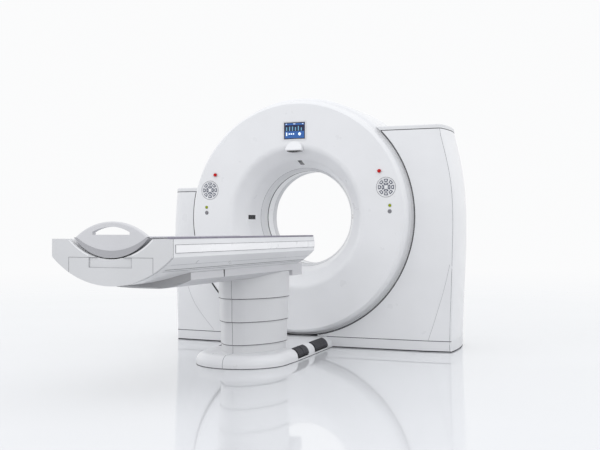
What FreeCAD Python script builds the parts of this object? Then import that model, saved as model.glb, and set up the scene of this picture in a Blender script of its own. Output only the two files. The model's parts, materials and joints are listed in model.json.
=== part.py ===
"""A computed-tomography scanner: a tilting ring between two fixed side covers, and its patient table.

All sizes are millimetres.  The origin lies on the floor under the isocentre, +Y runs from the
table into the bore, +X is to the right of someone who faces the ring, and +Z is up.
"""
import FreeCAD, Part
import math
import os

V = FreeCAD.Vector
X_AXIS, Y_AXIS, Z_AXIS = V(1, 0, 0), V(0, 1, 0), V(0, 0, 1)

# ---------------------------------------------------------------- driving dimensions
SEAT = 0.3                  # gap at rest between pieces that are screwed or clipped together
ISO_Z = 1055                # height of the bore axis and of the tilt axis
FAR = 3000                  # cutters reach this far, past every piece

# ring covers, as radius about the bore axis and distance from the isocentre along it
BORE_R = 390
TUNNEL_HALF = 57            # half length of the thin tunnel round the scan plane
TUNNEL_WALL = 2.5
FACE_Y = 405                # the flat front and rear faces
RING_R, RING_Y = 943, FACE_Y - 60       # end of the rounded rim
RIM_R = RING_R - 28         # where the flat face turns into the rounded rim
RIM_MID = (RING_R - 9, -FACE_Y + 20)    # middle of the rounded rim
FUNNEL_R = BORE_R + 175     # where the funnel leaves the flat face
RIDGE_R, RIDGE_Y = BORE_R + 72, FACE_Y - 104    # the edge between the two cones of a funnel
FUNNEL_BEND = 30            # run of the soft bends to each side of these two edges
COLLAR_R, COLLAR_Y = BORE_R + 19, FACE_Y - 240  # where the end collars meet the funnels
THROAT_Y = COLLAR_Y - 37    # where the collars have narrowed to the bore
SKIRT_R, SKIRT_Y = RING_R + 9, RING_Y - 45      # free edge of a face cover
SHELL_STEP = 24             # how far the middle shell stands out beyond the face covers
SHELL_R, SHELL_Y = SKIRT_R + SHELL_STEP, SKIRT_Y - 38
COVER_WALL = 6
TILT_GAP = 4.95              # free space round the ring while it tilts
TILT_CLEAR_R = math.hypot(SHELL_R, SHELL_Y) + TILT_GAP  # sphere that every fixed piece leaves free

# fixed gantry: floor frame and stands
STAND_X0 = round(TILT_CLEAR_R + 4.5)
STAND_X1 = STAND_X0 + 90
STAND_FOOT_Y, STAND_HEAD_R, BUSH_R = 200, 160, 90
FOOT_T = 30
FOOT_X0, FOOT_X1 = STAND_X0 - 120, STAND_X0 + 110
ANCHOR_X, ANCHOR_Y, ANCHOR_R = STAND_X0 + 60, 235, 9

# tilting frame, bearings and rotor
FRAME_R, FRAME_BORE_R = SHELL_R - 71, BORE_R + 145
FRAME_FRONT_Y, FRAME_BACK_Y = 95, 125
FRAME_HOOP, FRAME_HOOP_FRONT_Y = 25, -70
FRAME_LUG_W, FRAME_LUGS = 70, 8
FRAME_HOLE_AT = FRAME_R - 215
TRUNNION_R, HUB_R, HUB_OUT_X = 60, 110, FRAME_R + 25
TRUNNION_END_LEFT, TRUNNION_END_RIGHT = STAND_X1 + 8, STAND_X1 + 70
RUNNING = 0.05              # radial clearance of the trunnions in their bushes
RACE_Y0, RACE_Y1 = 75, 125
RACE_MID_R, RACE_GAP = BORE_R + 110, 0.1
SLEEVE_R0, SLEEVE_R1 = BORE_R + 50, BORE_R + 64.7
DRUM_Y0, DRUM_Y1, DRUM_R, DRUM_HOOP = 40, 62, FRAME_R - 43, 17
DRUM_HOLES, DRUM_HOLE_R, DRUM_HOLE_AT = 8, 55, DRUM_R - 92
WEIGHT_T = 132              # radial depth of the balance weights
SLIP_R, SLIP_Y0, SLIP_Y1, SLIP_TRACKS = BORE_R + 170, 150, 172, 4
STATOR_GAP = 4
TUBE_R, TUBE_AT, TUBE_FRONT_Y = 115, BORE_R + 210, -190
DETECTOR_GAP = 37.5         # between the tunnel and the detector, opposite the tube
DETECTOR_R = TUBE_AT + BORE_R + TUNNEL_WALL + DETECTOR_GAP
DETECTOR_DEPTH, DETECTOR_DEG = 80, 50
DETECTOR_FRONT_Y = -60
UNIT_X0, UNIT_X1, UNIT_HALF_H = BORE_R + 155, DRUM_R - 117, 150
FINS = 9

# front controls, as x and z on the face
DISPLAY_Z, SCREEN_W, SCREEN_H, BEZEL_EDGE = ISO_Z + FUNNEL_R + 132, 184, 136, 11
KEYPAD_X, KEYPAD_Z, KEYPAD_R, KEYPAD_T = RING_R - 173, ISO_Z + 226, 80, 9
STOP_X, STOP_Z, STOP_R, STOP_STEM_R = RING_R - 226, ISO_Z + 353, 14, 8
GREEN_X, GREEN_Z = RING_R - 142, ISO_Z + 83
GREY_X, GREY_Z = RING_R - 143, ISO_Z + 37
PUSH_R, PUSH_PROUD, PUSH_DEPTH = 12, 3.5, 20
BUTTON_GAP = 0.35
WINDOW_Y0, WINDOW_Y1, WINDOW_W, WINDOW_T = RIDGE_Y - 4, RIDGE_Y - 76, 36, 3
SHADE_LOW_Z = ISO_Z + FUNNEL_R - 32     # lower edge of the visor, just inside the funnel
SHADE_TOP_Z, SHADE_HALF_W, SHADE_OUT = SHADE_LOW_Z + 80, 68, 27
LENS_HALF_W, LENS_T = 58, 5

# side covers
FRONT_Y, BACK_Y = -SKIRT_Y - 1.5, 340
SIDE_WALL = 5
INNER_X = 160               # where the front walls of the side covers stop under the ring
KICK_Z0, KICK_TOP = 8, 83.5
COVER_Z0 = 84
CAP_H, CAP_ROUND = 34, 10
# height, then corner, bulge at mid depth and rear edge, as distances outside the stands' inner faces
RIGHT_SIDE = ((COVER_Z0, 238, 242, 192), (500, 256, 266, 203), (950, 269, 281, 218),
              (1250, 261, 272, 205), (1470, 226, 242, 176), (1736, 160, 184, 107))
RIGHT_ROUND = 26
LEFT_SIDE = ((COVER_Z0, 152, 160, 140), (450, 166, 176, 156), (1000, 178, 188, 170),
             (1277, 160, 172, 154))
LEFT_ROUND = 95
# styling facet on the lower outer front of each side cover: its line's top and foot, and its slope
RIGHT_FACET = ((237, 686), (28, 0), 7)
LEFT_FACET = ((17, 461), (-301, 0), 5)

# table base
BASE_END_Y, BASE_NOSE_Y, BASE_HALF_W = -1700, -1367, 333
BASE_STRAIGHT_Y, BASE_GANTRY_HALF_W = -1180, 288
BASE_BEND_R = 2000          # softens the slight bend where the sides begin to taper
BASE_H, BASE_SHOULDER, BASE_WALL = 85, 60, 4
PLATE_T = 12
TABLE_BOLT_X, TABLE_BOLT_Y0, TABLE_BOLT_Y1, TABLE_BOLT_R = 150, -1560, -800, 8
# pedals: middle and length along the base, turning clearance and swing
HEIGHT_PEDAL_Y, HEIGHT_PEDAL_L = -1025, 230
RELEASE_PEDAL_Y, RELEASE_PEDAL_L = -595, 310
PEDAL_PROUD, PEDAL_T = 6, 18
PEDAL_PIN_R, PEDAL_HUB_R = 4, 8

# lifting column
COLUMN_HALF_W, COLUMN_TIP_Y, COLUMN_NOSE_Y, COLUMN_REAR_Y = 240, -1560, -1160, -1060
COLUMN_TIP_R, COLUMN_CORNER_R = 130, 40
SLEEVE_STEP, SLEEVE_WALL, LIP_H, LIP = 8, 4, 6, 3.7
SLEEVES = {"column_cover_fixed": (3, PLATE_T + SEAT, 165), "column_cover_lower": (2, 140, 315),
           "column_cover_middle": (1, 300, 476)}
TOP_SLEEVE_Z = 463
LIFT_Y, LIFT_R, LIFT_WALL, LIFT_GAP = -1345, 110, 8, 0.1
LIFT_STAGES = {"lift_tube_outer": (0, PLATE_T + SEAT, 262), "lift_tube_middle": (1, 228, 455)}
LIFT_INNER_Z = 405
MOTOR_Y, MOTOR_R, MOTOR_TOP = -1165, 45, 215

# table top assembly
TOP_Z, HOUSING_HALF_W, HOUSING_FOOT_Y, HOUSING_HEAD_Y = 897, 382.6, -3055, -954
ARC_R, ARC_Z = 538, TOP_Z + 279         # underside of the housing
HOUSING_WALL = 8
BOWL_R, BOWL_Z = 374, TOP_Z - 111       # the trough that the cradle lies in
GROOVES = (-31.5, -33.5, -38.5)         # angles of the fine lines along the underside
GROOVE = 2.5
CAP_T = 22
PANEL_HALF_W, PANEL_TOP_Z, PANEL_T = 270, TOP_Z - 102, 8
NOTCH_HALF_W, NOTCH_Z, NOTCH_DEPTH = 137, TOP_Z - 157, 5
CARRIAGE_T, CARRIAGE_HALF_W, CARRIAGE_Y0, CARRIAGE_Y1 = 40, 250, -2165, -870
HEAD_BOX_Y, HEAD_BOX_Z = COLUMN_REAR_Y + 5, 612
BELLY_Y0, BELLY_CREASE_Y, BELLY_GAP = -2800, -2600, 10
STRIP_Z0, STRIP_Z1, STRIP_T, STRIP_Y0 = TOP_Z - 74, TOP_Z - 32, 5, -3010
GUARD_X0, GUARD_X1, GUARD_H = 345, 378, 12
RAIL_X, RAIL_W, RAIL_TOP_Z = 60, 26, BOWL_Z + 8

# cradle
CRADLE_EDGE_Z, CRADLE_Z = TOP_Z + 8, BOWL_Z + 6
CRADLE_HALF_W, CRADLE_IN_HALF_W, CRADLE_IN_Z = 240, 225, CRADLE_Z + 40
CRADLE_Y0, CRADLE_Y1 = -3050, -960
MAT_T, MAT_Y0, MAT_Y1 = 10, -2985, -985
HANDLE_Y0, HANDLE_Y1, HANDLE_TOP_Z = -3048, -3014, TOP_Z + 96
HANDLE_HALF_W, HANDLE_HOLE_HALF_W, HANDLE_HOLE_Z0, HANDLE_HOLE_Z1 = 232, 120, TOP_Z + 23, TOP_Z + 67


# ---------------------------------------------------------------- drawing helpers
def on_plan(z):
    """Places a flat point (x, y) at height z."""
    return lambda p: V(p[0], p[1], z)


def on_front(y):
    """Places a flat point (x, z) in the plane at y."""
    return lambda p: V(p[0], y, p[1])


def on_side(x):
    """Places a flat point (y, z) in the plane at x."""
    return lambda p: V(x, p[0], p[1])


def on_radius(p):
    """Places a point (radius, y) beside the bore axis."""
    return V(p[0], p[1], ISO_Z)


def path(place, start, *steps):
    """Edges from start through the steps: a point is a line to it, a pair of points is an arc."""
    edges, here = [], start
    for step in steps:
        if isinstance(step[0], tuple):
            middle, there = step
            edges.append(Part.Arc(place(here), place(middle), place(there)).toShape())
        else:
            there = step
            edges.append(Part.makeLine(place(here), place(there)))
        here = there
    return edges


def area(place, start, *steps):
    """A face inside the closed outline that the steps draw."""
    last = steps[-1][1] if isinstance(steps[-1][0], tuple) else steps[-1]
    closing = [] if last == start else [start]
    return Part.Face(Part.Wire(path(place, start, *steps, *closing)))


def bend(before, corner, after, reach):
    """Start, middle and end of the arc that softens a corner, with its run along either side."""
    back, ahead = (V(p[0] - corner[0], p[1] - corner[1], 0).normalize() for p in (before, after))
    half = back.getAngle(ahead) / 2
    radius = reach * math.tan(half)
    peak = (back + ahead).normalize() * (radius / math.sin(half) - radius)
    return [(corner[0] + v.x, corner[1] + v.y) for v in (back * reach, peak, ahead * reach)]


def block(x0, x1, y0, y1, z0, z1):
    """A box between its low and high corners."""
    return Part.makeBox(x1 - x0, y1 - y0, z1 - z0, V(x0, y0, z0))


def rod(radius, start, end):
    """A round bar between two points."""
    return Part.makeCylinder(radius, (end - start).Length, start, end - start)


def about_bore(face, degrees=360, first=0):
    """Turns a radius-and-y face round the bore axis; 0 degrees is +X and -90 is straight up."""
    face = face.copy()
    face.rotate(V(0, 0, ISO_Z), Y_AXIS, first)
    return face.revolve(V(0, 0, ISO_Z), Y_AXIS, degrees)


def hoop(r0, r1, y0, y1):
    """A plain ring about the bore axis."""
    return about_bore(area(on_radius, (r0, y0), (r1, y0), (r1, y1), (r0, y1)))


def at_bore(radius, degrees, y):
    """A point at a radius and an angle up from +X."""
    turn = math.radians(degrees)
    return V(radius * math.cos(turn), y, ISO_Z + radius * math.sin(turn))


def mirrored_x(shape):
    """The same shape on the other side of the middle plane."""
    return shape.mirror(V(0, 0, 0), X_AXIS)


def tilt_space():
    """The sphere that the tilting ring sweeps, with its clearance."""
    return Part.makeSphere(TILT_CLEAR_R, V(0, 0, ISO_Z))


def save(node, *solids):
    """Writes one node, made of one or more separate solids."""
    pieces = [s for shape in solids for s in shape.Solids]
    shape = pieces[0] if len(pieces) == 1 else Part.makeCompound(pieces)
    shape.exportStep(os.path.join("parts", node + ".step"))


# ---------------------------------------------------------------- ring covers
def funnel_bends(shift=0.0):
    """The soft bend from the face into the funnel and the one between its cones."""
    face, edge, ridge, throat = ((r + shift, shift - y) for r, y in (
        (RIM_R, FACE_Y), (FUNNEL_R, FACE_Y), (RIDGE_R, RIDGE_Y), (COLLAR_R, COLLAR_Y)))
    return bend(face, edge, ridge, FUNNEL_BEND), bend(edge, ridge, throat, FUNNEL_BEND)


def face_lines():
    """The outer lines of a face cover's two mouldings: skirt to outer cone, and the funnel's throat."""
    edge, ridge = funnel_bends()
    run = V(ridge[0][0] - edge[2][0], ridge[0][1] - edge[2][1], 0).normalize() * SEAT
    return (path(on_radius, (SKIRT_R, -SKIRT_Y), (RING_R, -RING_Y), (RIM_MID, (RIM_R, -FACE_Y)),
                 edge[0], edge[1:], (ridge[0][0] - run.x, ridge[0][1] - run.y)),
            path(on_radius, ridge[0], ridge[1:], (COLLAR_R, -COLLAR_Y)))


def plain_face_cover():
    """The two mouldings of the front face, without their openings."""
    return [about_bore(Part.Wire(line).makeOffset2D(COVER_WALL, 2, True, True, False), 360, 90)
            for line in face_lines()]


def behind_face(gap):
    """Everything behind the face and the outer cone, less a gap in front of them."""
    edge, ridge = funnel_bends(-gap)
    return about_bore(area(on_radius, (RIM_R, -FACE_Y - gap), edge[0], edge[1:], ridge[0], ridge[1:],
                           (ridge[2][0], 0), (RIM_R, 0)))


def window_boxes(spare):
    """Radial blocks right, above and left of the axis, where the positioning lights shine out."""
    half = WINDOW_W / 2 + spare
    boxes = []
    for turn in (0, -90, 180):
        box = block(BORE_R, RIDGE_R + 40, -WINDOW_Y0 - spare, -WINDOW_Y1 + spare, ISO_Z - half, ISO_Z + half)
        box.rotate(V(0, 0, ISO_Z), Y_AXIS, turn)
        boxes.append(box)
    return boxes


def window_panes(spare=0.0):
    """The curved panes let into the inner cone; with some spare, the recesses that take them."""
    start, middle, end = funnel_bends()[1]

    def at(point, depth):
        return (point[0] + depth, point[1])
    front, back = -10 * spare, WINDOW_T + spare
    foot = (COLLAR_R, -COLLAR_Y)
    layer = area(on_radius, at(start, front), (at(middle, front), at(end, front)), at(foot, front),
                 at(foot, back), at(end, back), (at(middle, back), at(start, back)))
    return [about_bore(layer, 360, 45).common(box) for box in window_boxes(spare)]


def rounded_panel(half_w, z0, z1, y0, y1, radius):
    """A plate that faces the front, with rounded corners."""
    plate = block(-half_w, half_w, y0, y1, z0, z1)
    upright = [e for e in plate.Edges if abs(e.tangentAt(e.FirstParameter).y) > 0.9]
    return plate.makeFillet(radius, upright)


def display():
    """The bezel frame and the screen that sits in it."""
    half_w, low, high = SCREEN_W / 2, DISPLAY_Z - SCREEN_H / 2, DISPLAY_Z + SCREEN_H / 2
    flange = rounded_panel(half_w + BEZEL_EDGE, low - BEZEL_EDGE, high + BEZEL_EDGE,
                           -FACE_Y - 4, -FACE_Y - SEAT, 9)
    neck = rounded_panel(half_w + 3, low - 3, high + 3, -FACE_Y - SEAT, -FACE_Y + 9, 5)
    sight = rounded_panel(half_w + SEAT, low - SEAT, high + SEAT, -FACE_Y - 5, -FACE_Y + 10, 3)
    screen = rounded_panel(half_w, low, high, -FACE_Y - 1, -FACE_Y + 7, 3)
    return flange.fuse(neck).cut(sight).removeSplitter(), screen


def shade():
    """The visor over the patient sensor, and the dark lens under it."""
    front = area(on_front(-FACE_Y - SHADE_OUT - 10), (-SHADE_HALF_W, SHADE_LOW_Z),
                 ((0, SHADE_TOP_Z), (SHADE_HALF_W, SHADE_LOW_Z)))
    wedge = area(on_side(-SHADE_HALF_W - 5), (-FACE_Y, SHADE_TOP_Z + 2),
                 (-FACE_Y - SHADE_OUT, SHADE_LOW_Z + 14),
                 ((-FACE_Y - SHADE_OUT + 1, SHADE_LOW_Z + 4), (-FACE_Y - SHADE_OUT + 8, SHADE_LOW_Z)),
                 (-RIDGE_Y, SHADE_LOW_Z), (-RIDGE_Y, SHADE_TOP_Z + 2))
    visor = front.extrude(V(0, SHADE_OUT + FACE_Y - RIDGE_Y + 10, 0))
    visor = visor.common(wedge.extrude(V(2 * SHADE_HALF_W + 10, 0, 0))).cut(behind_face(SEAT))
    lens = block(-LENS_HALF_W, LENS_HALF_W, -FACE_Y - SHADE_OUT + 10, -FACE_Y + 20,
                 SHADE_LOW_Z - LENS_T - SEAT, SHADE_LOW_Z - SEAT).cut(behind_face(SEAT))
    return max(visor.Solids, key=lambda s: s.Volume), max(lens.Solids, key=lambda s: s.Volume)


def keypad():
    """The round keypad on the right: a shallow dished disc with a raised ring of key pads."""
    at = V(KEYPAD_X, -FACE_Y - 1, KEYPAD_Z)
    disc = Part.makeCylinder(KEYPAD_R - SEAT, KEYPAD_T, at, Y_AXIS)
    dish = Part.makeCone(KEYPAD_R - 8, KEYPAD_R - 14, 3, at, Y_AXIS)
    hub = Part.makeCylinder(13, 3, at, Y_AXIS)
    keys = []
    for n in range(8):
        key = block(KEYPAD_X - 10, KEYPAD_X + 10, -FACE_Y - 0.5, -FACE_Y + 2.5,
                    KEYPAD_Z + KEYPAD_R - 36, KEYPAD_Z + KEYPAD_R - 20)
        key.rotate(at, Y_AXIS, n * 45)
        keys.append(key)
    return disc.cut(dish).fuse([hub] + keys)


def stop_button():
    """Emergency stop on the right: a mushroom head on a stem."""
    at = V(STOP_X, -FACE_Y - 17, STOP_Z)
    head = Part.makeCylinder(STOP_R, 12, at, Y_AXIS)
    head = head.makeFillet(4, [head.Edges[i] for i in (0, 2) if head.Edges[i].CenterOfMass.y < at.y + 1])
    return head.fuse(Part.makeCylinder(STOP_STEM_R, 32, at, Y_AXIS))


def push_button(x, z):
    """A flat round push button."""
    at = V(x, -FACE_Y - PUSH_PROUD, z)
    cap = Part.makeCylinder(PUSH_R, PUSH_DEPTH, at, Y_AXIS)
    return cap.makeFillet(1.5, [e for e in cap.Edges if e.CenterOfMass.y < at.y + 0.5])


def controls_right():
    """The movable controls on the right half of the front face."""
    return {"emergency_stop": stop_button(), "green_button": push_button(GREEN_X, GREEN_Z),
            "grey_button": push_button(GREY_X, GREY_Z)}


def control_holes():
    """Cutters for the controls of the right half of the front face."""
    depth = 4 * COVER_WALL
    sizes = ((KEYPAD_X, KEYPAD_Z, KEYPAD_R), (STOP_X, STOP_Z, STOP_STEM_R + BUTTON_GAP),
             (GREEN_X, GREEN_Z, PUSH_R + BUTTON_GAP), (GREY_X, GREY_Z, PUSH_R + BUTTON_GAP))
    return [Part.makeCylinder(r, depth, V(x, -FACE_Y - COVER_WALL, z), Y_AXIS) for x, z, r in sizes]


def front_cover():
    """The front face with its openings."""
    half_w, half_h = SCREEN_W / 2 + 3 + SEAT, SCREEN_H / 2 + 3 + SEAT
    hole = rounded_panel(half_w, DISPLAY_Z - half_h, DISPLAY_Z + half_h,
                         -FACE_Y - COVER_WALL, -FACE_Y + 3 * COVER_WALL, 5)
    right = control_holes()
    cuts = [hole] + right + [mirrored_x(c) for c in right] + window_panes(SEAT)
    return [moulding.cut(cuts) for moulding in plain_face_cover()]


def ring_shell():
    """The middle shell of the ring in four segments, open where the trunnions pass."""
    edge_r = SKIRT_R - 2
    y0 = -SKIRT_Y + SEAT + (SKIRT_R - edge_r) * (SKIRT_R - RING_R) / (RING_Y - SKIRT_Y)
    line = path(on_radius, (edge_r, y0), ((SHELL_R - 7, -SHELL_Y - 20), (SHELL_R, -SHELL_Y)),
                (SHELL_R, SHELL_Y), ((SHELL_R - 7, SHELL_Y + 20), (edge_r, -y0)))
    section = Part.Wire(line).makeOffset2D(-COVER_WALL, 2, True, True, False)
    hole = rod(TRUNNION_R + 12, V(-SHELL_R - 20, 0, ISO_Z), V(SHELL_R + 20, 0, ISO_Z))
    seam = math.degrees(SEAT / SHELL_R)
    return [about_bore(section, 90 - seam, 90 * n + seam / 2).cut(hole) for n in range(4)]


def bore_collar():
    """The front collar: it narrows from the funnel to the bore and runs on to the thin tunnel."""
    back_r, outer_r = COLLAR_R + COVER_WALL, BORE_R + COVER_WALL
    rise = COVER_WALL * (RIDGE_R - COLLAR_R) / (RIDGE_Y - COLLAR_Y)
    start, end = -COLLAR_Y + SEAT, -TUNNEL_HALF - SEAT
    return about_bore(area(on_radius, (COLLAR_R, start), (back_r, start + rise), (outer_r, rise - THROAT_Y),
                           (outer_r, end), (BORE_R, end), (BORE_R, -THROAT_Y)))


def make_ring_covers():
    """All the covers, windows and controls of the ring."""
    bezel, screen = display()
    visor, lens = shade()
    collar = bore_collar()
    mirror_y = (V(0, 0, 0), Y_AXIS)
    save("front_cover", *front_cover())
    save("ring_rear_cover", *[moulding.mirror(*mirror_y) for moulding in plain_face_cover()])
    save("ring_shell", *ring_shell())
    save("bore_collars", collar, collar.mirror(*mirror_y))
    save("bore_tunnel", hoop(BORE_R, BORE_R + TUNNEL_WALL, -TUNNEL_HALF, TUNNEL_HALF))
    save("display_bezel", bezel)
    save("display_screen", screen)
    save("sensor_shade", visor)
    save("sensor_windows", lens, *window_panes())
    save("keypads", keypad(), mirrored_x(keypad()))
    for name, button in controls_right().items():
        save(name + "_right", button)
        save(name + "_left", mirrored_x(button))


# ---------------------------------------------------------------- tilting frame and rotor
def tilt_frame():
    """The annular bulkhead with its hoop, cover lugs and two trunnions."""
    disc = hoop(FRAME_BORE_R, FRAME_R, FRAME_FRONT_Y, FRAME_BACK_Y)
    band = hoop(FRAME_R - FRAME_HOOP, FRAME_R, FRAME_HOOP_FRONT_Y, FRAME_FRONT_Y)
    lug_end = SHELL_R - COVER_WALL - SEAT
    lugs = []
    for n in range(FRAME_LUGS):
        lug = block(FRAME_R - 5, lug_end + 5, FRAME_FRONT_Y, FRAME_BACK_Y,
                    ISO_Z - FRAME_LUG_W / 2, ISO_Z + FRAME_LUG_W / 2)
        lug = lug.common(rod(lug_end, V(0, FRAME_FRONT_Y, ISO_Z), V(0, FRAME_BACK_Y, ISO_Z)))
        lug.rotate(V(0, 0, ISO_Z), Y_AXIS, (n + 0.5) * 360 / FRAME_LUGS)
        lugs.append(lug)
    hubs = []
    for side, end in ((1, TRUNNION_END_RIGHT), (-1, TRUNNION_END_LEFT)):
        root = V(side * (FRAME_R - FRAME_HOOP + 8), 0, ISO_Z)
        hub = rod(HUB_R, root, V(side * HUB_OUT_X, 0, ISO_Z))
        hubs += [hub, rod(TRUNNION_R, root, V(side * end, 0, ISO_Z))]
    frame = disc.fuse([band] + lugs + hubs)
    turns = [(n + 0.5) * 360 / DRUM_HOLES for n in range(DRUM_HOLES)]
    holes = [rod(DRUM_HOLE_R, at_bore(FRAME_HOLE_AT, turn, FRAME_FRONT_Y - 5),
                 at_bore(FRAME_HOLE_AT, turn, FRAME_BACK_Y + 5)) for turn in turns]
    return frame.cut(holes + [hoop(FRAME_R - FRAME_HOOP - 80, FRAME_R - FRAME_HOOP,
                                   -2 * HUB_R, FRAME_FRONT_Y)])


def rotor_drum():
    """Sleeve, disc and outer hoop of the rotor, with cast-on balance weights and lightening holes."""
    drum = hoop(SLEEVE_R0, SLEEVE_R1, DRUM_Y0, SLIP_Y1)
    inner, outer = DRUM_R - WEIGHT_T, DRUM_R - 5
    weight = area(on_radius, (inner, 5), (outer, 5), (outer, DRUM_Y0 + 5), (inner, DRUM_Y0 + 5))
    drum = drum.fuse([hoop(SLEEVE_R0, DRUM_R, DRUM_Y0, DRUM_Y1), hoop(DRUM_R - DRUM_HOOP, DRUM_R, 0, DRUM_Y1)]
                     + [about_bore(weight, 18, first) for first in (46, 116)])
    holes = [rod(DRUM_HOLE_R, at_bore(DRUM_HOLE_AT, n * 360 / DRUM_HOLES + 22, DRUM_Y0 - 5),
                 at_bore(DRUM_HOLE_AT, n * 360 / DRUM_HOLES + 22, DRUM_Y1 + 5)) for n in range(DRUM_HOLES)]
    return drum.cut(holes)


def slip_ring():
    """The disc that brings power to the rotor, with concentric tracks on its rear face."""
    ring = hoop(SLEEVE_R1 + SEAT, SLIP_R, SLIP_Y0, SLIP_Y1)
    pitch = (SLIP_R - SLEEVE_R1 - 20) / SLIP_TRACKS
    for n in range(SLIP_TRACKS):
        r = SLEEVE_R1 + 15 + n * pitch
        ring = ring.cut(hoop(r, r + pitch / 3, SLIP_Y1 - 4, SLIP_Y1 + 5))
    return ring


def brush_block():
    """The bracket on the frame that holds the brushes against the slip ring."""
    brushes = block(-60, 60, SLIP_Y1 + SEAT, SLIP_Y1 + 40, ISO_Z - SLIP_R, ISO_Z - SLIP_R + 80)
    arm = block(-60, 60, FRAME_BACK_Y + SEAT, SLIP_Y1 + 40, ISO_Z - SLIP_R - 70, ISO_Z - SLIP_R - 12)
    web = block(-60, 60, SLIP_Y1 + 10, SLIP_Y1 + 40, ISO_Z - SLIP_R - 20, ISO_Z - SLIP_R + 5)
    return brushes.fuse([arm, web])


def xray_tube():
    """The tube housing, a drum lying along the bore axis with a cable head in front."""
    at = at_bore(TUBE_AT, 90, TUBE_FRONT_Y)
    body = Part.makeCylinder(TUBE_R, DRUM_Y0 - SEAT - TUBE_FRONT_Y, at, Y_AXIS)
    head = Part.makeCylinder(TUBE_R * 0.6, 30, at - Y_AXIS * 28, Y_AXIS)
    return body.fuse(head)


def collimator():
    """The lead-lined box under the tube that shapes the fan beam."""
    top, low = TUBE_AT - TUBE_R - SEAT, TUBE_AT - TUBE_R - 48
    face = area(on_front(-45), (-55, ISO_Z + top), (55, ISO_Z + top), (95, ISO_Z + low), (-95, ISO_Z + low))
    return face.extrude(V(0, DRUM_Y0 - SEAT + 45, 0)).cut(
        Part.makeCylinder(TUBE_R + SEAT, 200, at_bore(TUBE_AT, 90, -100), Y_AXIS))


def detector_arc():
    """The curved detector, centred on the tube, with cooling fins on its back."""
    centre = at_bore(TUBE_AT, 90, DETECTOR_FRONT_Y)
    depth = DRUM_Y0 - SEAT - DETECTOR_FRONT_Y
    half = math.radians(DETECTOR_DEG / 2)

    def at(r, a):
        return (r * math.sin(a), centre.z - r * math.cos(a))
    r0, r1 = DETECTOR_R, DETECTOR_R + DETECTOR_DEPTH
    face = area(on_front(DETECTOR_FRONT_Y), at(r0, -half), (at(r0, 0), at(r0, half)),
                at(r1, half), (at(r1, 0), at(r1, -half)))
    arc = face.extrude(V(0, depth, 0))
    slots = []
    for n in range(1, FINS):
        slot = block(-10, 10, DETECTOR_FRONT_Y - 5, DETECTOR_FRONT_Y + 60,
                     centre.z - r1 - 5, centre.z - r1 + 25)
        slot.rotate(centre, Y_AXIS, DETECTOR_DEG * (n / FINS - 0.5))
        slots.append(slot)
    return arc.cut(slots)


def side_unit(side, finned):
    """A box on the side of the drum: the high-voltage unit, or the finned tube cooler."""
    x0, x1 = sorted((side * UNIT_X0, side * UNIT_X1))
    unit = block(x0, x1, -160, DRUM_Y0 - SEAT, ISO_Z - UNIT_HALF_H, ISO_Z + UNIT_HALF_H)
    if not finned:
        return unit.makeFillet(18, [e for e in unit.Edges if abs(e.tangentAt(e.FirstParameter).y) > 0.9])
    pitch = 2 * UNIT_HALF_H / FINS
    slots = [block(x0 - 5, x1 + 5, -165, -60, ISO_Z - UNIT_HALF_H + (n + 0.35) * pitch,
                   ISO_Z - UNIT_HALF_H + (n + 0.75) * pitch) for n in range(FINS)]
    return unit.cut(slots)


def make_frame_and_rotor():
    """The tilting frame, main bearing, drive and everything that spins."""
    save("tilt_frame", tilt_frame())
    save("bearing_outer_ring", hoop(RACE_MID_R, FRAME_BORE_R - SEAT, RACE_Y0, RACE_Y1))
    save("drive_stator", hoop(DRUM_R + STATOR_GAP, FRAME_R - FRAME_HOOP - SEAT, 0, DRUM_Y1))
    save("brush_block", brush_block())
    save("rotor_drum", rotor_drum())
    save("bearing_inner_ring", hoop(SLEEVE_R1 + SEAT, RACE_MID_R - RACE_GAP, RACE_Y0, RACE_Y1))
    save("slip_ring", slip_ring())
    save("xray_tube", xray_tube())
    save("collimator", collimator())
    save("detector_arc", detector_arc())
    save("generator_and_cooler", side_unit(-1, False), side_unit(1, True))


# ---------------------------------------------------------------- fixed gantry
def floor_frame():
    """Two feet and two cross beams, dished under the ring and drilled for the floor anchors."""
    back = BACK_Y - SIDE_WALL - SEAT
    front = FRONT_Y + SIDE_WALL + SEAT
    feet = [block(s0, s1, front, back, 0, FOOT_T)
            for s0, s1 in ((-FOOT_X1, -FOOT_X0), (FOOT_X0, FOOT_X1))]
    beams = [block(-FOOT_X0, FOOT_X0, y0, y0 + 90, 0, FOOT_T) for y0 in (front, back - 90)]
    holes = [Part.makeCylinder(ANCHOR_R, FOOT_T + 2, V(x, y, -1), Z_AXIS)
             for x in (-ANCHOR_X, ANCHOR_X) for y in (-ANCHOR_Y, ANCHOR_Y)]
    bevels = [facet_wedge(RIGHT_FACET, SIDE_WALL + SEAT),
              mirrored_x(facet_wedge(LEFT_FACET, SIDE_WALL + SEAT))]
    return feet[0].fuse(feet[1:] + beams).removeSplitter().cut(holes + bevels)


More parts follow.
